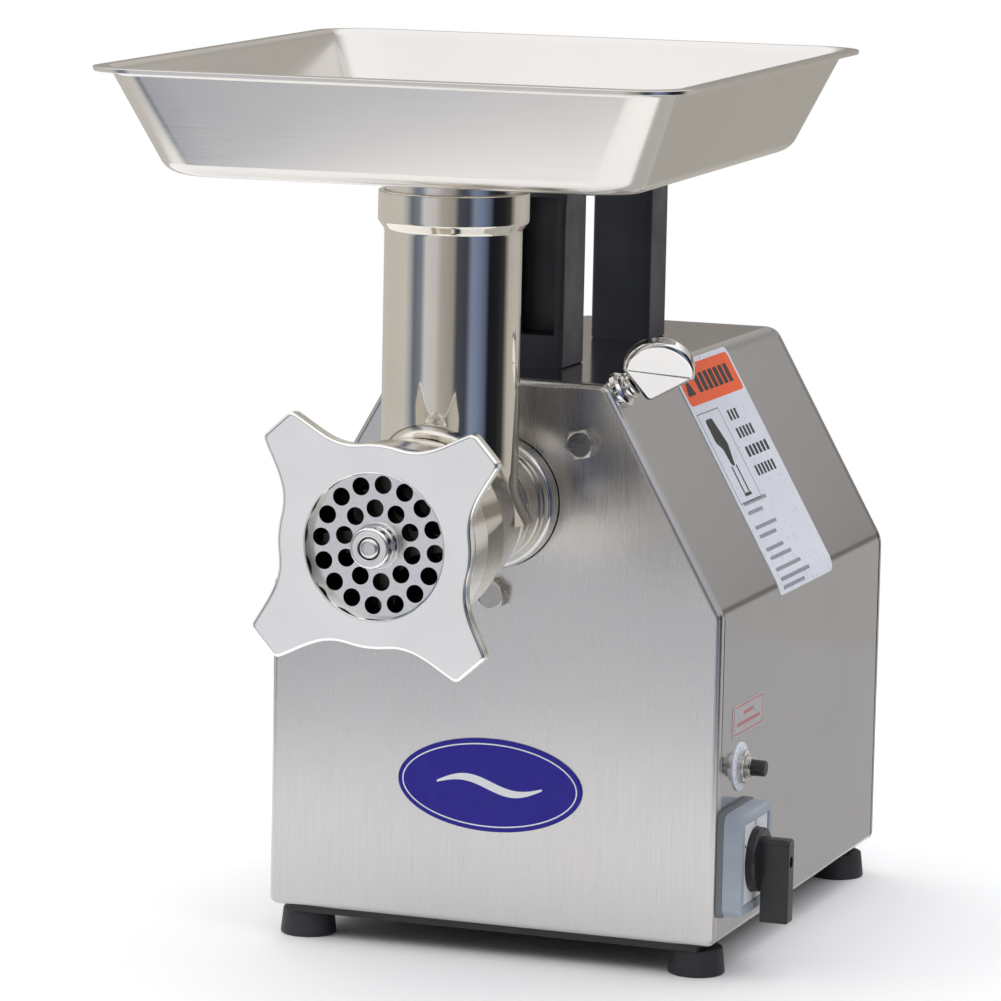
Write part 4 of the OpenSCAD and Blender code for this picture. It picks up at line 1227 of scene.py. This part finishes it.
def frame_bars(u, v, w, h, line):
    """The four bars of a rectangular frame."""
    long_sides = [(u, v + side * h / 2, w, line) for side in (-1, 1)]
    return long_sides + [(u + side * w / 2, v, line, h) for side in (-1, 1)]


def blocks(u, v, height, length, block, gap):
    """A row of plain blocks along v that fills a length, starting at v."""
    count = max(1, round((length + gap) / (block + gap)))
    pitch = (length + gap) / count
    return [(u, v + pitch * (k + 0.5) - gap / 2, height, pitch - gap) for k in range(count)]


def sheet_rows(place, length, width, corner, lift):
    """Cross-sections of a label from its top edge down, narrower at its rounded corners."""
    count = 40
    ends = [corner * (1 - math.cos(math.pi / 2 * k / 6)) for k in range(7)]
    between = [corner + (length - 2 * corner) * k / count for k in range(1, count)]
    rows = []
    for s in ends + between + [length - e for e in reversed(ends)]:
        from_end = min(s, length - s, corner)
        half = width / 2 - corner + math.sqrt(max(corner ** 2 - (corner - from_end) ** 2, 0))
        left, right = complex(length / 2 - s, -half), complex(length / 2 - s, half)
        rows.append([place(left, 0), place(right, 0), place(right, lift), place(left, lift)])
    return rows


# Rows of blocks on the notice: millimetres below its top edge, length
NOTICE_WORDS = [(32.5, 13), (42, 24), (52, 33), (62, 29)]
NOTICE_LINES = [(74.5, 34), (79.3, 22), (87, 32), (91.6, 25), (98.5, 26), (103, 32), (109, 38), (114, 45),
                (118, 33)]


def notice():
    """On the slant: header band, a framed box and rows of blocks, read from the top edge down."""
    low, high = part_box("notice_label")
    length, width = 121.0, 86.6
    place = slant_plane((0.8 + length / 2) * MM, (low.y + high.y) / 2)
    lift = 0.35 * MM
    top = length / 2

    def shape(points, u, v):
        return [(p + complex(u, v)) * MM for p in points]

    solid = Solid().skin(sheet_rows(place, length * MM, width * MM, 4 * MM, lift), caps=True)
    solid.kind = 1
    header_u = top - 12.5
    header = rectangle(20 * MM, (width - 5) * MM, 2.5 * MM, complex(header_u, 0) * MM, 4)
    solid.plate(header, place, lift - 0.02 * MM, lift + 0.03 * MM)
    solid.kind = 2
    bars(solid, place, blocks(header_u, -20, 9.5, 52, 5.2, 2.2), lift + 0.02 * MM)
    triangle = rounded([-5 - 6j, 5 + 0j, -5 + 6j], 0.6, 3)
    solid.plate(shape(triangle, header_u, -32), place, lift, lift + 0.06 * MM)
    u, v = top - 50.5, -23.5
    bars(solid, place, frame_bars(u, v, 47, 32, 0.35), lift)
    blob = rounded([20 - 9j, 20 + 1j, 6 + 6j, -6 + 1j, -4 - 3j, 4 - 4j, 8 - 9j], 2, 4)
    solid.plate(shape(blob, u, v), place, lift - 0.02 * MM, lift + 0.05 * MM)
    stand = [(u - 12, v - 4, 14, 1.6), (u - 12, v + 3, 14, 1.6), (u - 20, v, 1.6, 10)]
    bars(solid, place, stand, lift)
    for down, word in NOTICE_WORDS:
        bars(solid, place, blocks(top - down, 2, 5.4, word, 3.3, 2.1), lift)
    solid.kind = 3
    for down, line in NOTICE_LINES:
        bars(solid, place, blocks(top - down, -36, 1.9, line, 1.5, 0.9), lift)
    looks = [LOOKS["label_white"], ORANGE, INK, FINE_INK]
    solid.make("notice_sheet", "root", "label_white", ["notice_label"], looks=looks)


def small_label():
    """A clear sheet with a red frame and two rows of red blocks."""
    low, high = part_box("reset_label")
    centre = (low + high) / 2
    place = side_plane(SIDE_X, centre.y, centre.z)
    w, h = high.y - low.y, high.z - low.z
    lift = 0.25 * MM
    solid = Solid().plate(rectangle(w, h, 1 * MM), place, 0, lift, 0.05 * MM, 0, 2)
    solid.kind = 1
    bars(solid, place, frame_bars(0, 0, w / MM - 4, h / MM - 2.8, 0.45), lift)
    for row in (blocks(2.4, -7.5, 1.7, 15, 1.5, 0.8), blocks(-2.2, -17, 1.7, 34, 1.5, 0.8)):
        bars(solid, place, [(along, up, wide, tall) for up, along, tall, wide in row], lift)
    solid.make("small_label", "root", "label_clear", ["reset_label"], looks=[LOOKS["label_clear"], RED])


# ---- Base ----


def rubber_feet():
    low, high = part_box("feet")
    radius = 13.4
    top = high.z / MM
    shape = [(6, 0), (radius, 0), (12.0, top), (2.8, top), (2.8, 6), (6, 6)]
    profile = profile_of(shape, [0.4, 1.0, 0.8, 0, 0.3, 0.4], 4)
    solid = Solid()
    for x in (low.x + radius * MM, high.x - radius * MM):
        for y in (low.y + radius * MM, high.y - radius * MM):
            solid.turned(profile, floor_plane(0, x, y), 72, closed=True)
    solid.make("rubber_feet", "root", "foot_rubber", ["feet"])


def soften(obj, width):
    """Small rounded edges on a piece that keeps its CAD shape."""
    weld = obj.modifiers.new("weld", "WELD")
    weld.merge_threshold = 0.01 * MM
    bevel = obj.modifiers.new("edge", "BEVEL")
    bevel.width = width
    bevel.segments = 2
    bevel.limit_method = "ANGLE"
    bevel.angle_limit = math.radians(40)
    bevel.harden_normals = True


def keep_cad_pieces():
    """Every carried-over node gets the material of its slot."""
    slots = {s["node"]: s["material_slot"] for s in RECORD["subparts"]}
    for name, obj in NODES.items():
        obj.data.materials.clear()
        obj.data.materials.append(LOOKS[slots[name]])
    NODES["cutting_plate"].data.materials[0] = PLATE_FACE
    for name, width in (("base_plate", 0.5 * MM), ("cable_gland", 0.6 * MM)):
        soften(NODES[name], width)


make_studio()
keep_cad_pieces()
front_pan()
shell_wrap()
rear_pan()
pan_head_screws()
hub_ring()
head_casting()
ring_nut()
plate_face()
hub_bolt_heads()
tray_pan()
carrying_handle()
locking_screw()
rotary_switch()
switch_knob()
breaker()
oval_badge()
notice()
small_label()
rubber_feet()
